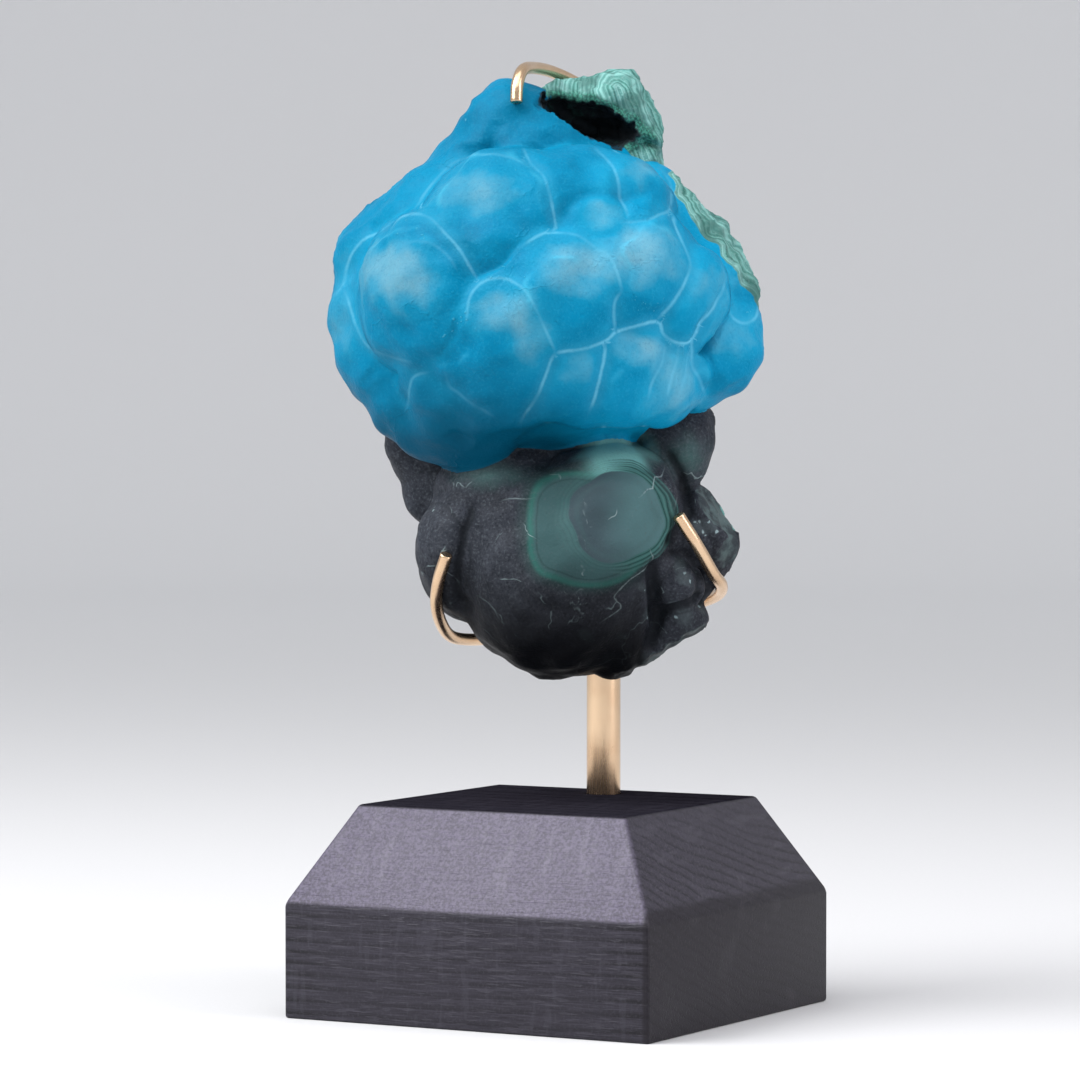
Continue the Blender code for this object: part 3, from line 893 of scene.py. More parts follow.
# %% [markdown]
# All these measures are written on the points of the stone. A material reads
# one by its name, and the renderer fills in the values between the points.

# %% Measures on the mesh
measures = {
    "crust_edge": crust_edge, "broken_edge": broken_edge, "hollow_edge": hollow_edge,
    "chip_edge": chip_edge, "crown": crown, "body": body, "layer": layer, "furrow": furrow,
    "step_line": step_line, "worn_disc": worn_disc, "worn_pale": worn_pale,
    "disc_side": disc_side, "green_and_lit_glow": green_and_lit_glow, "granular": granular, "chalk": chalk,
    "line_near": line_near, "line_side": line_side, "line_pale": line_pale, "facing": facing,
}
measures.update((f"border_{bit}", border) for bit, border in enumerate(borders))
for name, values in measures.items():
    stored = stone.data.attributes.new(name, "FLOAT", "POINT")
    stored.data.foreach_set("value", np.asarray(values, np.float32))
stone.data.shade_smooth()
print(len(measures), "measures:", ", ".join(measures))

# %% [markdown]
# ## A few words for building materials
#
# A material is a small machine of nodes. These helpers place a node, set its
# plain values and join the rest, so that a material reads like a recipe. A
# colour is built up as a painter does it: a base first, and then coats, each
# with a mask that says where it lies.

# %% Material helpers
def place_node(tree, kind, settings=None, **feeds):
    """A node with its settings; each feed is a value or another node's output."""
    node = tree.nodes.new("ShaderNode" + kind)
    for name, value in (settings or {}).items():
        setattr(node, name, value)
    for name, value in feeds.items():
        socket = node.inputs[int(name[1:])] if name[0] == "_" else node.inputs[name]
        if isinstance(value, bpy.types.NodeSocket):
            tree.links.new(value, socket)
        else:
            socket.default_value = value
    return node


def number(tree, operation, first, second=0.0, third=0.0, clamp=False):
    settings = {"operation": operation, "use_clamp": clamp}
    return place_node(tree, "Math", settings, _0=first, _1=second, _2=third).outputs[0]


def blend(tree, amount, first, second, how="MIX"):
    settings = {"data_type": "RGBA", "blend_type": how}
    return place_node(tree, "Mix", settings, _0=amount, _6=first, _7=second).outputs[2]


def span(tree, value, low, high, start=0.0, end=1.0):
    """Turns a range of values into another, smoothly at both ends."""
    settings = {"interpolation_type": "SMOOTHSTEP"}
    node = place_node(tree, "MapRange", settings, _0=value, _1=low, _2=high, _3=start, _4=end)
    return node.outputs[0]


def coated(tree, base, *coats):
    """Lays coats over a colour in turn; a coat is a mask and a colour."""
    for mask, coat in coats:
        coat = (*coat, 1) if isinstance(coat, tuple) else coat
        base = blend(tree, mask, base, coat)
    return base


def ramp(tree, value, stops):
    node = place_node(tree, "ValToRGB", None, Fac=value)
    points = node.color_ramp.elements
    while len(points) < len(stops):
        points.new(1.0)
    for point, (position, color) in zip(points, stops):
        point.position = position
        point.color = color
    return node.outputs[0]


def grain(tree, where, scale, detail=3.0, rough=0.55, warp=0.0):
    feeds = {"Vector": where, "Scale": scale, "Detail": detail, "Roughness": rough,
             "Distortion": warp}
    return place_node(tree, "TexNoise", None, **feeds).outputs["Fac"]


def grain_color(tree, where, scale):
    return place_node(tree, "TexNoise", None, Vector=where, Scale=scale).outputs["Color"]


def attribute(tree, name):
    return place_node(tree, "Attribute", {"attribute_name": name}).outputs["Fac"]


def stretched(tree, where, scale, turn=(0, 0, 0), shift=(0, 0, 0)):
    return place_node(
        tree, "Mapping", None, Vector=where, Scale=scale, Rotation=turn, Location=shift
    ).outputs[0]


def new_material(name):
    material = bpy.data.materials.new(name)
    material.use_nodes = True
    tree = material.node_tree
    tree.nodes.clear()
    shader = place_node(tree, "BsdfPrincipled")
    output = place_node(tree, "OutputMaterial")
    tree.links.new(shader.outputs[0], output.inputs[0])
    where = place_node(tree, "TexCoord").outputs["Object"]
    return material, tree, shader, where


def finish(tree, shader, color, roughness, height=None, depth=0.0003, strength=1.0):
    tree.links.new(color, shader.inputs["Base Color"])
    tree.links.new(roughness, shader.inputs["Roughness"])
    if height is not None:
        bump = place_node(tree, "Bump", None, Height=height, Distance=depth, Strength=strength)
        tree.links.new(bump.outputs[0], shader.inputs["Normal"])


# Short sums, on the material that is being built.
def plus(first, second):
    return number(tree, "ADD", first, second)


def times(first, second):
    return number(tree, "MULTIPLY", first, second)


def centred(value, amount):
    """A pattern around zero, so many millimetres or parts strong."""
    return number(tree, "MULTIPLY_ADD", value, 2 * amount, -amount)


print("helpers ready")

# %% [markdown]
# ## Fine speckle, shared by the crust and the bare bubbles
#
# Tiny bright flecks lie on the crust, the bare bubbles and the breaks. They
# are the cells of a Voronoi pattern whose random number is high and whose
# middle is near. The crust and the bare bubbles both want them, so they are one
# node group with a named scale and amount.

# %% Fleck group
def new_group(name, takes, gives):
    group = bpy.data.node_groups.new(name, "ShaderNodeTree")
    for title, kind, value in takes:
        socket = group.interface.new_socket(title, in_out="INPUT", socket_type=kind)
        if value is not None:
            socket.default_value = value
    for title, kind in gives:
        group.interface.new_socket(title, in_out="OUTPUT", socket_type=kind)
    entry = group.nodes.new("NodeGroupInput")
    leave = group.nodes.new("NodeGroupOutput")
    return group, entry, leave


flecks, entry, leave = new_group(
    "Flecks",
    [("Where", "NodeSocketVector", None), ("Scale", "NodeSocketFloat", 600.0),
     ("Rarity", "NodeSocketFloat", 0.9), ("Size", "NodeSocketFloat", 0.25)],
    [("Mask", "NodeSocketFloat")],
)
cells = place_node(flecks, "TexVoronoi", None, Vector=entry.outputs["Where"],
                   Scale=entry.outputs["Scale"])
chosen = number(flecks, "GREATER_THAN", cells.outputs["Color"], entry.outputs["Rarity"])
close = number(flecks, "SUBTRACT", entry.outputs["Size"], cells.outputs["Distance"])
close = number(flecks, "MULTIPLY", close, 8.0, clamp=True)
flecks.links.new(number(flecks, "MULTIPLY", chosen, close), leave.inputs["Mask"])


def fleck_mask(tree, where, scale, rarity, size):
    node = place_node(tree, "Group", {"node_tree": flecks})
    tree.links.new(where, node.inputs["Where"])
    for title, value in (("Scale", scale), ("Rarity", rarity), ("Size", size)):
        if isinstance(value, bpy.types.NodeSocket):
            tree.links.new(value, node.inputs[title])
        else:
            node.inputs[title].default_value = value
    return node.outputs["Mask"]


print("group", flecks.name, "with", len(flecks.nodes), "nodes")

# %% [markdown]
# ## The stone's skin
#
# One material covers the whole stone, because its zones run into each other.
# It starts with three noise patterns that every zone shares, from a cloud of a
# centimetre down to dust. Then come the creases: a computed or drawn line is
# the zero of an attribute, so it stays thin however coarse the net is.

# %% Shared patterns and thin creases
skin, tree, shader, where = new_material("Malachite and chrysocolla")
cloud = grain(tree, where, 70, 3.0)
patchy = grain(tree, where, 260, 4.0, 0.6)
dust = grain(tree, where, 1500, 3.0, 0.6)

crease = 9.0
for bit in range(len(borders)):
    to_border = number(tree, "ABSOLUTE", attribute(tree, f"border_{bit}"))
    crease = number(tree, "MINIMUM", to_border, crease)
crease = plus(crease, centred(dust, 0.25))
thin_crease = span(tree, crease, 0.05, 0.6, 1.0, 0.0)
wide_crease = span(tree, crease, 0.2, 2.6, 1.0, 0.0)
line_away = plus(number(tree, "ABSOLUTE", attribute(tree, "line_side")), centred(dust, 0.25))
line_close = span(tree, attribute(tree, "line_near"), 1.2, 0.7)
line_strength = times(attribute(tree, "line_pale"), line_close)
drawn_line = times(span(tree, line_away, 0.0, 0.62, 1.0, 0.0), line_strength)
thin_line = times(span(tree, line_away, 0.0, 0.22, 1.0, 0.0), line_strength)
drawn_wide = times(span(tree, attribute(tree, "line_near"), 2.8, 0.2), attribute(tree, "line_pale"))
elsewhere = number(tree, "SUBTRACT", 1.0, attribute(tree, "facing"))
bent_where = place_node(tree, "VectorMath", {"operation": "MULTIPLY_ADD"}, _2=where,
                        _0=grain_color(tree, where, 180), _1=(0.006, 0.006, 0.006)).outputs[0]
print("creases ready")

# %% [markdown]
# ## The blue crust
#
# The crust is deep and clear low on a bubble and milky near the top, and on top
# of that a painted highlight lies near the top and painted shade low down, so its
# colour is a ramp over the crown. Over it go coats, each a mask and a colour:
# painted shade in the furrows, dust, pale seams, a few growth rings, grains, and
# specks that are partly painted glints. The crust is also painted darker towards
# its upper left and lighter towards its lower right, and painted shade darkens its
# lower lip.

# %% Colours of the crust
# Milky crust with a painted highlight near the crown and painted shade below it.
milky_and_lit = plus(attribute(tree, "crown"), centred(cloud, 0.10))
milky_and_lit = plus(milky_and_lit, centred(patchy, 0.16))
sunk = span(tree, attribute(tree, "body"), -2.5, 1.5, 0.85, 0.0)
presence = grain(tree, where, 85, 3.0)
seams = times(times(thin_crease, elsewhere), span(tree, presence, 0.38, 0.60, 0.15, 0.7))
seams = plus(seams, times(drawn_line, span(tree, presence, 0.38, 0.62, 0.22, 0.78)))
rings = times(attribute(tree, "step_line"), span(tree, cloud, 0.45, 0.6, 0.0, 0.4))
near_edge = span(tree, attribute(tree, "crust_edge"), 3.9, 2.6)
near_edge = times(near_edge, span(tree, cloud, 0.4, 0.55, 0.2, 1.0))
edge_layers = times(plus(attribute(tree, "crust_edge"), centred(patchy, 0.5)), 6.5)
edge_layers = span(tree, number(tree, "SINE", edge_layers), 0.0, 1.0)
rough = plus(attribute(tree, "granular"), centred(patchy, 0.5))
grains = fleck_mask(tree, bent_where, 1100.0, span(tree, rough, 0.0, 1.0, 0.97, 0.72), 0.34)
# Pale specks on the crust, partly painted glints.
crust_specks_and_glints = fleck_mask(tree, where, 420.0, 0.95, 0.20)
blue = coated(
    tree,
    ramp(tree, milky_and_lit, [
        (0.05, (0.0002, 0.145, 0.270, 1)),
        (0.28, (0.0004, 0.190, 0.350, 1)),
        (0.46, (0.0050, 0.225, 0.390, 1)),
        (0.63, (0.0420, 0.262, 0.405, 1)),
        (0.84, (0.1150, 0.320, 0.430, 1)),
    ]),
    # Painted shade in the furrows.
    (span(tree, attribute(tree, "furrow"), 0.25, 1.2, 0.0, 0.45), (0.0003, 0.150, 0.290)),
    (sunk, (0.0002, 0.230, 0.410)),
    (span(tree, dust, 0.5, 0.70, 0.0, 0.14), (0.040, 0.37, 0.54)),
    (span(tree, dust, 0.46, 0.32, 0.0, 0.22), (0.0003, 0.140, 0.270)),
    (times(wide_crease, 0.10), (0.010, 0.32, 0.50)),
    (times(drawn_wide, 0.30), (0.040, 0.33, 0.50)),
    (seams, (0.130, 0.45, 0.62)),
    (rings, (0.06, 0.43, 0.61)),
    (times(times(near_edge, 0.35), edge_layers), (0.03, 0.38, 0.55)),
    (times(grains, 0.30), (0.10, 0.47, 0.62)),
    (times(crust_specks_and_glints, 0.35), (0.20, 0.55, 0.68)),
)

upward = place_node(tree, "SeparateXYZ", None, Vector=where).outputs[2]
sideward = place_node(tree, "VectorMath", {"operation": "DOT_PRODUCT"}, _0=where,
                      _1=TURN[0]).outputs[1]
# Painted light and shade: darker towards the crust's upper left, lighter towards its lower right.
painted_light_slope = number(tree, "MULTIPLY_ADD", upward, -0.8, sideward)
blue = blend(tree, 1.0, blue, span(tree, painted_light_slope, -0.177, -0.080, 0.83, 1.22), "MULTIPLY")
# Painted shade on the crust's low lip left of its middle, and a little higher on its far left.
low_lip_shade = times(span(tree, upward, 0.149, 0.131, 0.0, 0.92),
                span(tree, sideward, -0.004, 0.014, 1.0, 0.0))
left_lip_shade = times(span(tree, upward, 0.152, 0.140, 0.0, 0.35),
                 span(tree, sideward, -0.024, -0.012, 1.0, 0.0))
blue = coated(tree, blue, (number(tree, "MAXIMUM", low_lip_shade, left_lip_shade), (0.0003, 0.055, 0.105)))
print("crust colours ready")

# %% [markdown]
# ## The bare bubbles
#
# The bare malachite has a dusty, nearly black skin. Where it is worn, the
# green below shows as a pale spot and as a disc with thin dark and light rings
# on its right side.

# %% Colours of the bare bubbles
def band(value, middle, width):
    """A soft line where a value passes its middle."""
    off = number(tree, "ABSOLUTE", number(tree, "SUBTRACT", value, middle))
    return span(tree, off, 0.0, width, 1.0, 0.0)


disc, pale = plus(attribute(tree, "worn_disc"), centred(patchy, 0.012)), attribute(tree, "worn_pale")
disc_side = attribute(tree, "disc_side")
green_and_lit = span(tree, plus(attribute(tree, "green_and_lit_glow"), centred(patchy, 0.12)), 0.3, 1.3, 0.9, 0.0)
ring_side = span(tree, plus(disc_side, centred(cloud, 0.2)), -0.35, 0.35, 0.12, 0.85)
in_pale = span(tree, plus(pale, centred(patchy, 0.03)), 0.97, 1.03, 0.85, 0.0)
in_disc = span(tree, plus(disc, centred(patchy, 0.02)), 0.97, 1.01, 1.0, 0.0)
disc_color = blend(tree, span(tree, plus(disc_side, centred(cloud, 0.4)), -0.6, 0.6),
                   (0.044, 0.068, 0.080, 1), (0.066, 0.136, 0.144, 1))
# Rings round the disc: where, how wide and their colour.
RINGS = (
    (1.02, 0.016, (0.014, 0.036, 0.036)),
    (1.06, 0.026, (0.060, 0.150, 0.142)),
    (1.10, 0.018, (0.014, 0.036, 0.036)),
    (1.14, 0.022, (0.055, 0.140, 0.132)),
    (1.18, 0.018, (0.018, 0.045, 0.042)),
    (1.23, 0.030, (0.050, 0.125, 0.118)),
)
grey = coated(
    tree,
    ramp(tree, plus(times(patchy, 0.6), times(cloud, 0.4)), [
        (0.30, (0.017, 0.020, 0.026, 1)),
        (0.50, (0.030, 0.034, 0.043, 1)),
        (0.70, (0.048, 0.054, 0.067, 1)),
    ]),
    (span(tree, dust, 0.50, 0.66, 0.0, 0.34), (0.085, 0.093, 0.108)),
    (span(tree, dust, 0.42, 0.34, 0.0, 0.55), (0.008, 0.009, 0.012)),
    (span(tree, pale, 1.0, 1.35, 0.55, 0.0), (0.022, 0.068, 0.062)),
    (in_pale, (0.040, 0.088, 0.092)),
    (span(tree, pale, 0.35, 0.62, 0.6, 0.0), (0.060, 0.120, 0.125)),
    (times(band(pale, 1.04, 0.10), 0.75), (0.030, 0.125, 0.108)),
    (times(band(pale, 0.93, 0.03), 0.5), (0.020, 0.045, 0.045)),
    # Green glow, brightened as painted light under the crust.
    (green_and_lit, (0.190, 0.450, 0.420)),
    (times(span(tree, disc, 1.30, 1.02), ring_side), (0.036, 0.115, 0.105)),
    *((times(band(disc, ring, wide), ring_side), color) for ring, wide, color in RINGS),
    (in_disc, disc_color),
    (times(band(disc, 0.84, 0.10), 0.3), (0.052, 0.100, 0.104)),
    (span(tree, dust, 0.56, 0.72, 0.0, 0.35), (0.070, 0.090, 0.100)),
)
print("worn spots ready")

# %% [markdown]
# White hairline cracks, flecks that are partly painted glints and chalky marks
# lie on top of that skin. Creases and furrows get painted shade, fresh chips are
# pale, and painted shade darkens the underside.

# %% Marks on the bare bubbles
crack_cells = place_node(tree, "TexVoronoi", {"feature": "DISTANCE_TO_EDGE"}, Vector=bent_where,
                         Scale=75.0)
cracks = times(span(tree, crack_cells.outputs["Distance"], 0.004, 0.016, 1.0, 0.0),
               span(tree, cloud, 0.53, 0.60))
# Pale specks on the bare bubbles, partly painted glints.
bare_specks_and_glints = fleck_mask(tree, where, 330.0, 0.955, 0.22)
chalky = plus(attribute(tree, "chalk"), centred(patchy, 0.4))
chalk_grains = fleck_mask(tree, bent_where, 620.0, span(tree, chalky, 0.1, 1.0, 0.995, 0.45), 0.40)
furrow_shade = span(tree, attribute(tree, "furrow"), 0.2, 1.1, 0.0, 0.75)
chipped = span(tree, plus(attribute(tree, "chip_edge"), centred(patchy, 0.6)), -0.3, 0.3)
fresh = blend(tree, span(tree, patchy, 0.40, 0.62), (0.036, 0.046, 0.052, 1), (0.090, 0.128, 0.130, 1))
# Painted shade: the low part of the bare bubbles is painted nearly black, less so right of the worn
# disc.
shaded = times(span(tree, upward, 0.113, 0.083, 0.0, 0.96),
               span(tree, disc_side, 0.45, 0.80, 1.0, 0.25))
grey = coated(
    tree, grey,
    (times(cracks, span(tree, patchy, 0.42, 0.55, 0.0, 0.75)), (0.22, 0.29, 0.30)),
    (times(bare_specks_and_glints, 0.5), (0.28, 0.36, 0.38)),
    (times(thin_line, 0.8), (0.25, 0.32, 0.33)),
    (span(tree, chalky, 0.2, 1.0, 0.0, 0.45), (0.080, 0.105, 0.112)),
    (times(chalk_grains, 0.80), (0.28, 0.38, 0.40)),
    # Painted shade in the creases and furrows.
    (times(thin_crease, 0.35), (0.012, 0.015, 0.018)),
    (furrow_shade, (0.009, 0.011, 0.014)),
    (times(chipped, 0.9), fresh),
    (shaded, (0.0018, 0.0020, 0.0028)),
)
print("bare colours ready")

# %% [markdown]
# ## The breaks and the hollow
#
# Broken faces cut through the layers of growth. A colour ramp that repeats
# along the depth gives the broad pale and dark green bands, and a sine gives
# hair lines between them. Near the hollow the green is fine crystals, and
# inside it is painted nearly black as painted shade, a little lighter near its
# mouth. The three zones are then laid over each other.

# %% Colours of the breaks and the hollow
growth_layer = plus(attribute(tree, "layer"), centred(cloud, 0.6))
growth_layer = plus(growth_layer, centred(patchy, 0.14))
cycle = number(tree, "FRACT", times(growth_layer, 0.24))
hair = number(tree, "SINE", times(growth_layer, 9.0))
mottle = grain(tree, where, 130, 3.0)
crystal = blend(tree, span(tree, dust, 0.44, 0.60), (0.010, 0.060, 0.045, 1), (0.04, 0.24, 0.17, 1))
by_hollow = plus(attribute(tree, "hollow_edge"), centred(patchy, 0.4))
bands = coated(
    tree,
    ramp(tree, cycle, [
        (0.00, (0.20, 0.43, 0.40, 1)),
        (0.10, (0.08, 0.24, 0.22, 1)),
        (0.16, (0.22, 0.46, 0.43, 1)),
        (0.30, (0.12, 0.30, 0.28, 1)),
        (0.36, (0.035, 0.14, 0.12, 1)),
        (0.44, (0.15, 0.36, 0.33, 1)),
        (0.60, (0.05, 0.18, 0.155, 1)),
        (0.68, (0.17, 0.39, 0.36, 1)),
        (0.80, (0.07, 0.21, 0.19, 1)),
        (0.90, (0.19, 0.41, 0.385, 1)),
        (1.00, (0.20, 0.43, 0.40, 1)),
    ]),
    (span(tree, hair, 0.3, 1.0, 0.0, 0.32), (0.035, 0.12, 0.10)),
    (span(tree, dust, 0.5, 0.7, 0.0, 0.35), (0.30, 0.48, 0.46)),
    (span(tree, patchy, 0.52, 0.7, 0.0, 0.4), (0.14, 0.25, 0.25)),
    (span(tree, mottle, 0.48, 0.64, 0.0, 0.68), (0.038, 0.115, 0.10)),
    (span(tree, by_hollow, -2.4, -1.2, 0.0, 0.75), crystal),
)
# Painted shade inside the hollow, a little lighter towards its mouth.
hollow_shade = blend(tree, span(tree, dust, 0.54, 0.66), (0.0008, 0.0014, 0.0018, 1),
               (0.0022, 0.0045, 0.0050, 1))
hollow_shade = coated(tree, hollow_shade, (span(tree, by_hollow, 0.9, 0.0, 0.0, 0.7), (0.022, 0.030, 0.036)))

crust_mask = span(tree, plus(attribute(tree, "crust_edge"), centred(patchy, 0.5)), -0.15, 0.15)
broken_mask = span(tree, plus(attribute(tree, "broken_edge"), centred(patchy, 0.35)), -0.1, 0.1)
hollow_mask = span(tree, by_hollow, -0.40, 0.0)
surface = coated(tree, grey, (crust_mask, blue), (broken_mask, bands), (hollow_mask, hollow_shade))
print("breaks and hollow ready")

# %% [markdown]
# ## Gloss and fine relief
#
# The crust is a little smoother than the breaks. Pits and grains smaller than
# the net's faces are bump only, because they don't change the outline.

# %% Gloss and fine relief
gloss = number(tree, "MULTIPLY_ADD", patchy, 0.22, 0.38)
gloss = number(tree, "MULTIPLY_ADD", crust_mask, -0.06, gloss)
gloss = number(tree, "MULTIPLY_ADD", broken_mask, 0.08, gloss)

tiny = grain(tree, where, 3200, 2.0, 0.5)
pits = place_node(tree, "TexVoronoi", {"feature": "SMOOTH_F1"}, Vector=where, Scale=520.0)
pit_depth = span(tree, pits.outputs["Distance"], 0.0, 0.25, 0.0, 1.0)
height = plus(times(patchy, 0.8), times(tiny, 0.15))
height = plus(height, times(dust, 0.42))
height = plus(height, times(pit_depth, times(span(tree, cloud, 0.5, 0.6), 0.35)))
height = plus(height, times(grains, 0.5))
height = plus(height, times(cracks, 0.25))
finish(tree, shader, surface, gloss, height, depth=0.0005, strength=0.6)
shader.inputs["Specular IOR Level"].default_value = 0.045

stone.data.materials.clear()
stone.data.materials.append(skin)
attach(stone, "root")
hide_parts("malachite_specimen")
print(skin.name, "has", len(tree.nodes), "nodes")

# %% [markdown]
# ## The wooden block
#
# The block is sawn from one board: upright sides, sloping shoulders and a flat
# top. A cube gives the sides, and its top face is extruded and drawn in for
# the shoulders. All the edges are sanded round. A hole is drilled for the post.

# %% Wooden block
BASE_HEIGHT = 49.0
BASE_EDGE_HEIGHT = 26.5
BASE_TOP_INSET = 12.5
POST_RADIUS = 4.0
POST_Y = 21.5
SOCKET_DEPTH = 18.3

low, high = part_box("wood_base")
base_width, base_depth = (high[0] - low[0]) / MM, (high[1] - low[1]) / MM


def to_mesh(shape, name):
    mesh = bpy.data.meshes.new(name)
    shape.to_mesh(mesh)
    shape.free()
    return mesh


shape = bmesh.new()
bmesh.ops.create_cube(shape, size=1.0)
bmesh.ops.scale(shape, vec=(base_width * MM, base_depth * MM, BASE_EDGE_HEIGHT * MM), verts=shape.verts)
bmesh.ops.translate(shape, vec=(0, 0, BASE_EDGE_HEIGHT * MM / 2), verts=shape.verts)
top = max(shape.faces, key=lambda face: face.calc_center_median().z)
top = bmesh.ops.extrude_discrete_faces(shape, faces=[top])["faces"][0]
bmesh.ops.translate(shape, vec=(0, 0, (BASE_HEIGHT - BASE_EDGE_HEIGHT) * MM), verts=top.verts)
narrow = (1 - 2 * BASE_TOP_INSET / base_width, 1 - 2 * BASE_TOP_INSET / base_depth, 1)
bmesh.ops.scale(shape, vec=narrow, verts=top.verts)
bmesh.ops.bevel(shape, geom=shape.edges, offset=0.8 * MM, affect="EDGES", segments=4,
                profile=0.5, material=-1)
block = new_piece("wooden_block", to_mesh(shape, "wooden_block"))

shape = bmesh.new()
bmesh.ops.create_cone(shape, cap_ends=True, segments=96, radius1=(POST_RADIUS + 0.3) * MM,
                      radius2=(POST_RADIUS + 0.3) * MM, depth=2 * SOCKET_DEPTH * MM)
bmesh.ops.translate(shape, vec=(0, POST_Y * MM, BASE_HEIGHT * MM), verts=shape.verts)
drill = new_piece("drill", to_mesh(shape, "drill"))
hole = block.modifiers.new("Post hole", "BOOLEAN")
hole.operation = "DIFFERENCE"
hole.object = drill
apply_modifiers(block)
bpy.data.objects.remove(drill)
block.data.shade_smooth()
block.data.set_sharp_from_angle(angle=math.radians(20))
print("block", len(block.data.polygons), "faces,", round(base_width), "by", round(base_depth), "mm")

# %% [markdown]
# ## Black-stained wood
#
# Wood is a stack of thin cylinders, the year rings, around a heart that lies
# outside this board, above and behind it. Distance from that heart line gives
# arcs on the end grain and long straight lines on the front, all from one
# pattern. Short pores run along the board. The stain hides most colour, and a
# satin wax leaves a soft shine.

# %% Wood material
HEART_Y, HEART_Z = 0.15, 0.46
RING_WIDTH = 0.0025

wood, tree, shader, where = new_material("Black stained wood")
split = place_node(tree, "SeparateXYZ", None, Vector=where).outputs
wander = number(tree, "SUBTRACT", grain(tree, stretched(tree, where, (5, 30, 30)), 1.0, 2.0), 0.5)
from_heart_y = number(tree, "SUBTRACT", split[1], HEART_Y)
from_heart_z = number(tree, "SUBTRACT", split[2], HEART_Z)
square = plus(times(from_heart_y, from_heart_y), times(from_heart_z, from_heart_z))
radius = number(tree, "MULTIPLY_ADD", wander, 0.008, number(tree, "SQRT", square))
year = number(tree, "FRACT", number(tree, "DIVIDE", radius, RING_WIDTH))
late = times(span(tree, year, 0.45, 0.85), span(tree, year, 1.0, 0.93))
fibre = grain(tree, stretched(tree, where, (110, 2600, 2600)), 1.0, 4.0, 0.65, 0.4)
pores = grain(tree, stretched(tree, where, (240, 1900, 1900)), 1.0, 1.0, 0.4)
pores = span(tree, pores, 0.58, 0.70)
rays = grain(tree, stretched(tree, where, (420, 70, 70)), 1.0, 2.0, 0.5, 0.3)
rays = span(tree, rays, 0.56, 0.66)
sawn = grain(tree, where, 1400, 3.0, 0.6)
sawn_end = span(tree, number(tree, "ABSOLUTE", split[0]), 0.030, 0.047)
late = times(late, span(tree, sawn_end, 0.0, 1.0, 0.45, 1.0))
# Painted highlight: the front shoulders are painted lighter as a sheen.
painted_shoulder_sheen = times(span(tree, split[2], 0.0262, 0.0272), span(tree, split[2], 0.0488, 0.0482))
front_shoulder = span(tree, plus(split[0], split[1]), 0.001, 0.004, 0.5, 0.05)
painted_shoulder_sheen = times(times(painted_shoulder_sheen, front_shoulder), span(tree, sawn, 0.35, 0.65, 0.6, 1.4))
stain = coated(
    tree,
    ramp(tree, fibre, [
        (0.32, (0.0150, 0.0135, 0.0195, 1)),
        (0.52, (0.0270, 0.0245, 0.0345, 1)),
        (0.74, (0.0450, 0.0415, 0.0560, 1)),
    ]),
    (times(late, 0.90), (0.0075, 0.0066, 0.0095)),
    (times(pores, 0.35), (0.058, 0.054, 0.070)),
    (times(rays, 0.20), (0.062, 0.058, 0.076)),
    (span(tree, sawn, 0.48, 0.70, 0.0, 0.35), (0.055, 0.051, 0.066)),
    (painted_shoulder_sheen, (0.135, 0.116, 0.180)),
    # Painted shade: the right end of the block is painted darker.
    (span(tree, split[0], 0.0455, 0.0465, 0.0, 0.8), (0.008, 0.006, 0.010)),
    # Painted shade: the flat top is painted darker.
    (span(tree, split[2], 0.0484, 0.0489, 0.0, 0.5), (0.004, 0.004, 0.006)),
)
shine = number(tree, "MULTIPLY_ADD", fibre, 0.18, 0.36)
shine = number(tree, "MULTIPLY_ADD", rays, -0.05, shine)
relief = number(tree, "MULTIPLY_ADD", pores, -0.5, times(fibre, 0.7))
relief = number(tree, "MULTIPLY_ADD", late, 0.30, relief)
relief = number(tree, "MULTIPLY_ADD", sawn, 0.30, relief)
finish(tree, shader, stain, shine, relief, depth=0.00012, strength=0.6)
tree.links.new(span(tree, split[2], 0.0484, 0.0489, 0.28, 0.0), shader.inputs["Specular IOR Level"])
block.data.materials.clear()
block.data.materials.append(wood)
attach(block, "root")
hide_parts("wood_base")
print(wood.name, "with rings", RING_WIDTH / MM, "mm apart")

# %% [markdown]
# ## Brass post and claws
#
# The post is a plain round rod with a turned end. It stands in the drilled hole
# of the block and rises behind the stone.

# %% Post
post_low, post_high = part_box("brass_post")
shape = bmesh.new()
post_length = post_high[2] - post_low[2]
bmesh.ops.create_cone(shape, cap_ends=True, segments=96, radius1=POST_RADIUS * MM,
                      radius2=POST_RADIUS * MM, depth=post_length)
bmesh.ops.translate(shape, vec=(0, POST_Y * MM, post_low[2] + post_length / 2), verts=shape.verts)
rims = [edge for edge in shape.edges if abs(edge.verts[0].co.z - edge.verts[1].co.z) < 1e-6]
bmesh.ops.bevel(shape, geom=rims, offset=0.6 * MM, affect="EDGES", segments=4, profile=0.5,
                material=-1)
post = new_piece("brass_rod_post", to_mesh(shape, "brass_rod_post"))
post.data.shade_smooth()
post.data.set_sharp_from_angle(angle=math.radians(35))
print("post", round(post_length / MM), "mm long")

# %% [markdown]
# The claws are thinner rod, bent by hand around the stone and brazed to the
# post, so each starts with a small flare of solder. A bent rod is a curve with
# a round bevel: the route is smoothed through a few points, and the curve's
# radius makes the flare and the eased tip.

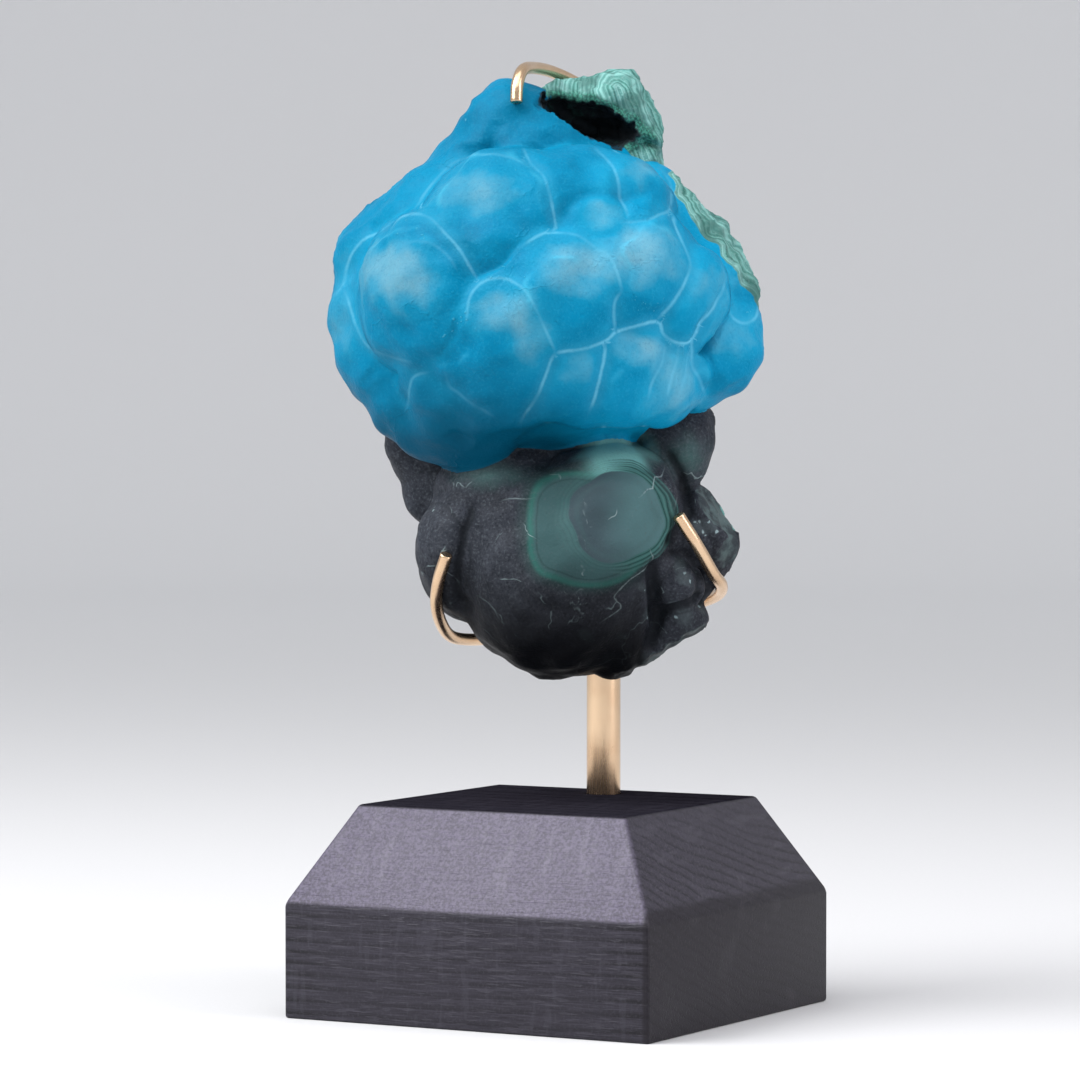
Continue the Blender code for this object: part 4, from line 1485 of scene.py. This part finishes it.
# %% Claws
CLAW_ROUTES = {
    "left": [
        (6.7, -20.9, 88.5), (0.5, -24.0, 88.2), (-7, -24.5, 87.2), (-14.5, -19.5, 86),
        (-20.5, -11.5, 85.8), (-25.2, -3, 87), (-27.5, 5, 90.6), (-28.4, 12.4, 95.6),
        (-27.7, 17.4, 101.2), (-25.9, 20.7, 107),
    ],
    "right": [
        (14.8, -18.8, 91), (24, -17, 92.6), (32, -9, 94.5), (36.7, 0, 96.8), (37.4, 8, 99.4),
        (35.2, 14.5, 102.5), (31.5, 19.3, 109), (27, 22, 116),
    ],
    "top": [
        (10.5, -18.8, 140.3), (10.5, -18.8, 160), (10.5, -18.8, 185), (10.5, -18.8, 204),
        (9, -19, 212.5), (4.5, -17, 216.3), (-1.5, -10.8, 218.8), (-6, -2.5, 219.3),
        (-8.5, 5.6, 218.3), (-9.7, 9.6, 215), (-10, 10.9, 210.5),
    ],
}
CLAW_RADIUS = 1.45
ROUTE_STEP = 1.0
FLARE_LENGTH = 3.0
FLARE_GROWTH = 0.55
FLARE_DEPTH = 0.9
# The eased tip: how far before the end, and how thick the rod is there.
TIP = ((0.35, 1.0), (0.1, 0.93), (0.0, 0.74))


def stone_place(across, toward, up):
    return Vector(np.array([across, toward, up]) @ TURN) * MM


def bent_rod(name, route):
    """A rod that flares where it is brazed on and is eased at its tip."""
    first = route[0] + (route[1] - route[0]).normalized() * -FLARE_DEPTH * MM
    last_way = (route[-1] - route[-2]).normalized()
    points = [first] + route[:-1] + [route[-1] - last_way * before * MM for before, _ in TIP]
    curve = bpy.data.curves.new(name, "CURVE")
    curve.dimensions = "3D"
    curve.bevel_depth = CLAW_RADIUS * MM
    curve.bevel_resolution = 6
    curve.use_fill_caps = True
    spline = curve.splines.new("POLY")
    spline.points.add(len(points) - 1)
    for spot, place in zip(spline.points, points):
        spot.co = (*place, 1.0)
        reach = (place - first).length / (FLARE_LENGTH * MM)
        spot.radius = 1.0 + FLARE_GROWTH * max(0.0, 1 - reach) ** 2
    for spot, (_, thickness) in zip(list(spline.points)[-len(TIP):], TIP):
        spot.radius = thickness
    rod = new_piece(name, curve)
    graph = bpy.context.evaluated_depsgraph_get()
    graph.update()
    mesh = bpy.data.meshes.new_from_object(rod.evaluated_get(graph))
    bpy.data.objects.remove(rod)
    shape = bmesh.new()
    shape.from_mesh(mesh)
    bmesh.ops.remove_doubles(shape, verts=shape.verts, dist=0.00001)
    bmesh.ops.recalc_face_normals(shape, faces=shape.faces)
    piece = new_piece(name, to_mesh(shape, name))
    piece.data.shade_smooth()
    piece.data.set_sharp_from_angle(angle=math.radians(50))
    return piece


claws = {}
for side, route in CLAW_ROUTES.items():
    path = smooth_route([stone_place(*spot) for spot in route], ROUTE_STEP)
    claws[side] = bent_rod("bent_claw_" + side, path)
    print("claw", side, len(claws[side].data.polygons), "faces")

# %% [markdown]
# ## Brushed brass
#
# The rod was rubbed down with fine abrasive, so its shine is soft and drawn
# out, with faint scratches and a little warm tarnish in places.

# %% Brass material
brass, tree, shader, where = new_material("Brushed brass")
tarnish = grain(tree, where, 90, 3.0)
scratch = grain(tree, stretched(tree, where, (5200, 5200, 260)), 1.0, 3.0, 0.6)
metal = coated(
    tree, (0.80, 0.58, 0.38, 1),
    (span(tree, tarnish, 0.35, 0.7, 0.0, 0.6), (0.62, 0.40, 0.24)),
    (span(tree, scratch, 0.55, 0.8, 0.0, 0.3), (0.88, 0.68, 0.48)),
)
shine = number(tree, "MULTIPLY_ADD", scratch, 0.14, 0.13)
shine = number(tree, "MULTIPLY_ADD", tarnish, 0.10, shine)
finish(tree, shader, metal, shine, scratch, depth=0.00004, strength=0.5)
shader.inputs["Metallic"].default_value = 1.0
for piece, node in (
    (post, "brass_post"), (claws["left"], "claw_left"), (claws["right"], "claw_right"),
    (claws["top"], "claw_top"),
):
    piece.data.materials.clear()
    piece.data.materials.append(brass)
    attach(piece, "root")
    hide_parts(node)
print(brass.name, "on", 1 + len(claws), "pieces")

# %% [markdown]
# ## Floor, light and camera
#
# A shallow bowl of pale paper is floor and background in one, so no edge shows
# behind the object from any side. Its profile is a straight line and a quarter
# of an ellipse, spun around the middle.

# %% Pale floor
FLOOR_FLAT, FLOOR_EDGE, FLOOR_RISE = 2.2, 3.6, 2.4
BEND_STEPS = 12

shape = bmesh.new()
profile = [shape.verts.new((0, 0, 0)), shape.verts.new((FLOOR_FLAT, 0, 0))]
for step in range(1, BEND_STEPS + 1):
    turn = step / BEND_STEPS * math.pi / 2
    reach = FLOOR_FLAT + (FLOOR_EDGE - FLOOR_FLAT) * math.sin(turn)
    profile.append(shape.verts.new((reach, 0, FLOOR_RISE * (1 - math.cos(turn)))))
edges = [shape.edges.new(pair) for pair in zip(profile, profile[1:])]
bmesh.ops.spin(shape, geom=profile + edges, cent=(0, 0, 0), axis=(0, 0, 1),
               angle=2 * math.pi, steps=96, use_merge=True)
bmesh.ops.remove_doubles(shape, verts=shape.verts, dist=0.0001)
bmesh.ops.recalc_face_normals(shape, faces=shape.faces)
floor = new_piece("paper_floor", to_mesh(shape, "paper_floor"))
floor.data.shade_smooth()
paper, tree, shader, where = new_material("Pale paper")
tooth = grain(tree, where, 900, 2.0)
from_middle = place_node(tree, "VectorMath", {"operation": "LENGTH"}, _0=where).outputs["Value"]
sheet_color = blend(tree, tooth, (0.58, 0.58, 0.59, 1), (0.62, 0.62, 0.63, 1))
sheet_color = coated(tree, sheet_color, (span(tree, from_middle, 0.6, 2.4), (0.86, 0.86, 0.87)))
finish(tree, shader, sheet_color, number(tree, "MULTIPLY_ADD", tooth, 0.1, 0.85))
floor.data.materials.append(paper)
print("floor", round(2 * FLOOR_EDGE, 1), "m across")

# %% [markdown]
# The camera looks almost level at the stone's broad face, from far enough for a
# calm perspective. Its focal length is counted in pixels of the frame, and the
# width of the sensor turns that into millimetres.

# %% Camera
FRAME_PIXELS = 1080
FOCAL_PIXELS = 5089
SENSOR = 36.0
VIEW_TURN, VIEW_RISE = math.radians(29.25), math.radians(1.89)
VIEW_DISTANCE = 1.184
LOOK_ASIDE, LOOK_UP = -0.00454, 0.1096

backward = Vector((
    math.sin(VIEW_TURN) * math.cos(VIEW_RISE),
    -math.cos(VIEW_TURN) * math.cos(VIEW_RISE),
    math.sin(VIEW_RISE),
))
rightward = Vector((math.cos(VIEW_TURN), math.sin(VIEW_TURN), 0))
target = rightward * LOOK_ASIDE + Vector((0, 0, LOOK_UP))
camera = bpy.data.objects.new("camera", bpy.data.cameras.new("camera"))
bpy.context.scene.collection.objects.link(camera)
camera.data.sensor_width = SENSOR
camera.data.lens = FOCAL_PIXELS / FRAME_PIXELS * SENSOR
camera.location = target + backward * VIEW_DISTANCE
camera.rotation_euler = backward.to_track_quat("Z", "Y").to_euler()
bpy.context.scene.camera = camera
print("lens", round(camera.data.lens, 1), "mm")

# %% [markdown]
# Two soft boxes light the object from the left and the right of the camera, and
# one hangs above. Wide lights give the round forms broad, soft highlights. A
# faint even sky keeps the shadows open.

# %% Soft boxes
LIGHTS_AIM = Vector((0, 0, 0.13))


def soft_box(name, aside, rise, distance, width, height, power, color=(1, 1, 1)):
    """An area light turned aside from the camera and aimed at the stone."""
    turn = VIEW_TURN + math.radians(aside)
    away = Vector((
        math.sin(turn) * math.cos(math.radians(rise)),
        -math.cos(turn) * math.cos(math.radians(rise)),
        math.sin(math.radians(rise)),
    ))
    light = bpy.data.lights.new(name, "AREA")
    light.shape = "RECTANGLE"
    light.size, light.size_y = width, height
    light.energy = power
    light.color = color
    lamp = bpy.data.objects.new(name, light)
    bpy.context.scene.collection.objects.link(lamp)
    lamp.location = LIGHTS_AIM + away * distance
    lamp.rotation_euler = away.to_track_quat("Z", "Y").to_euler()
    return lamp


soft_box("left_box", -70, 44, 1.2, 0.8, 0.9, 20)
soft_box("right_box", 66, 24, 1.2, 0.35, 1.1, 6.5, (1, 0.95, 0.99))
soft_box("top_box", 0, 68, 1.3, 1.1, 1.1, 9)
world = bpy.data.worlds.new("studio")
world.use_nodes = True
sky = world.node_tree.nodes["Background"].inputs
sky["Color"].default_value = (0.85, 0.87, 0.9, 1)
sky["Strength"].default_value = 0.62
bpy.context.scene.world = world
bpy.context.scene.view_settings.view_transform = "Standard"
print("three soft boxes")
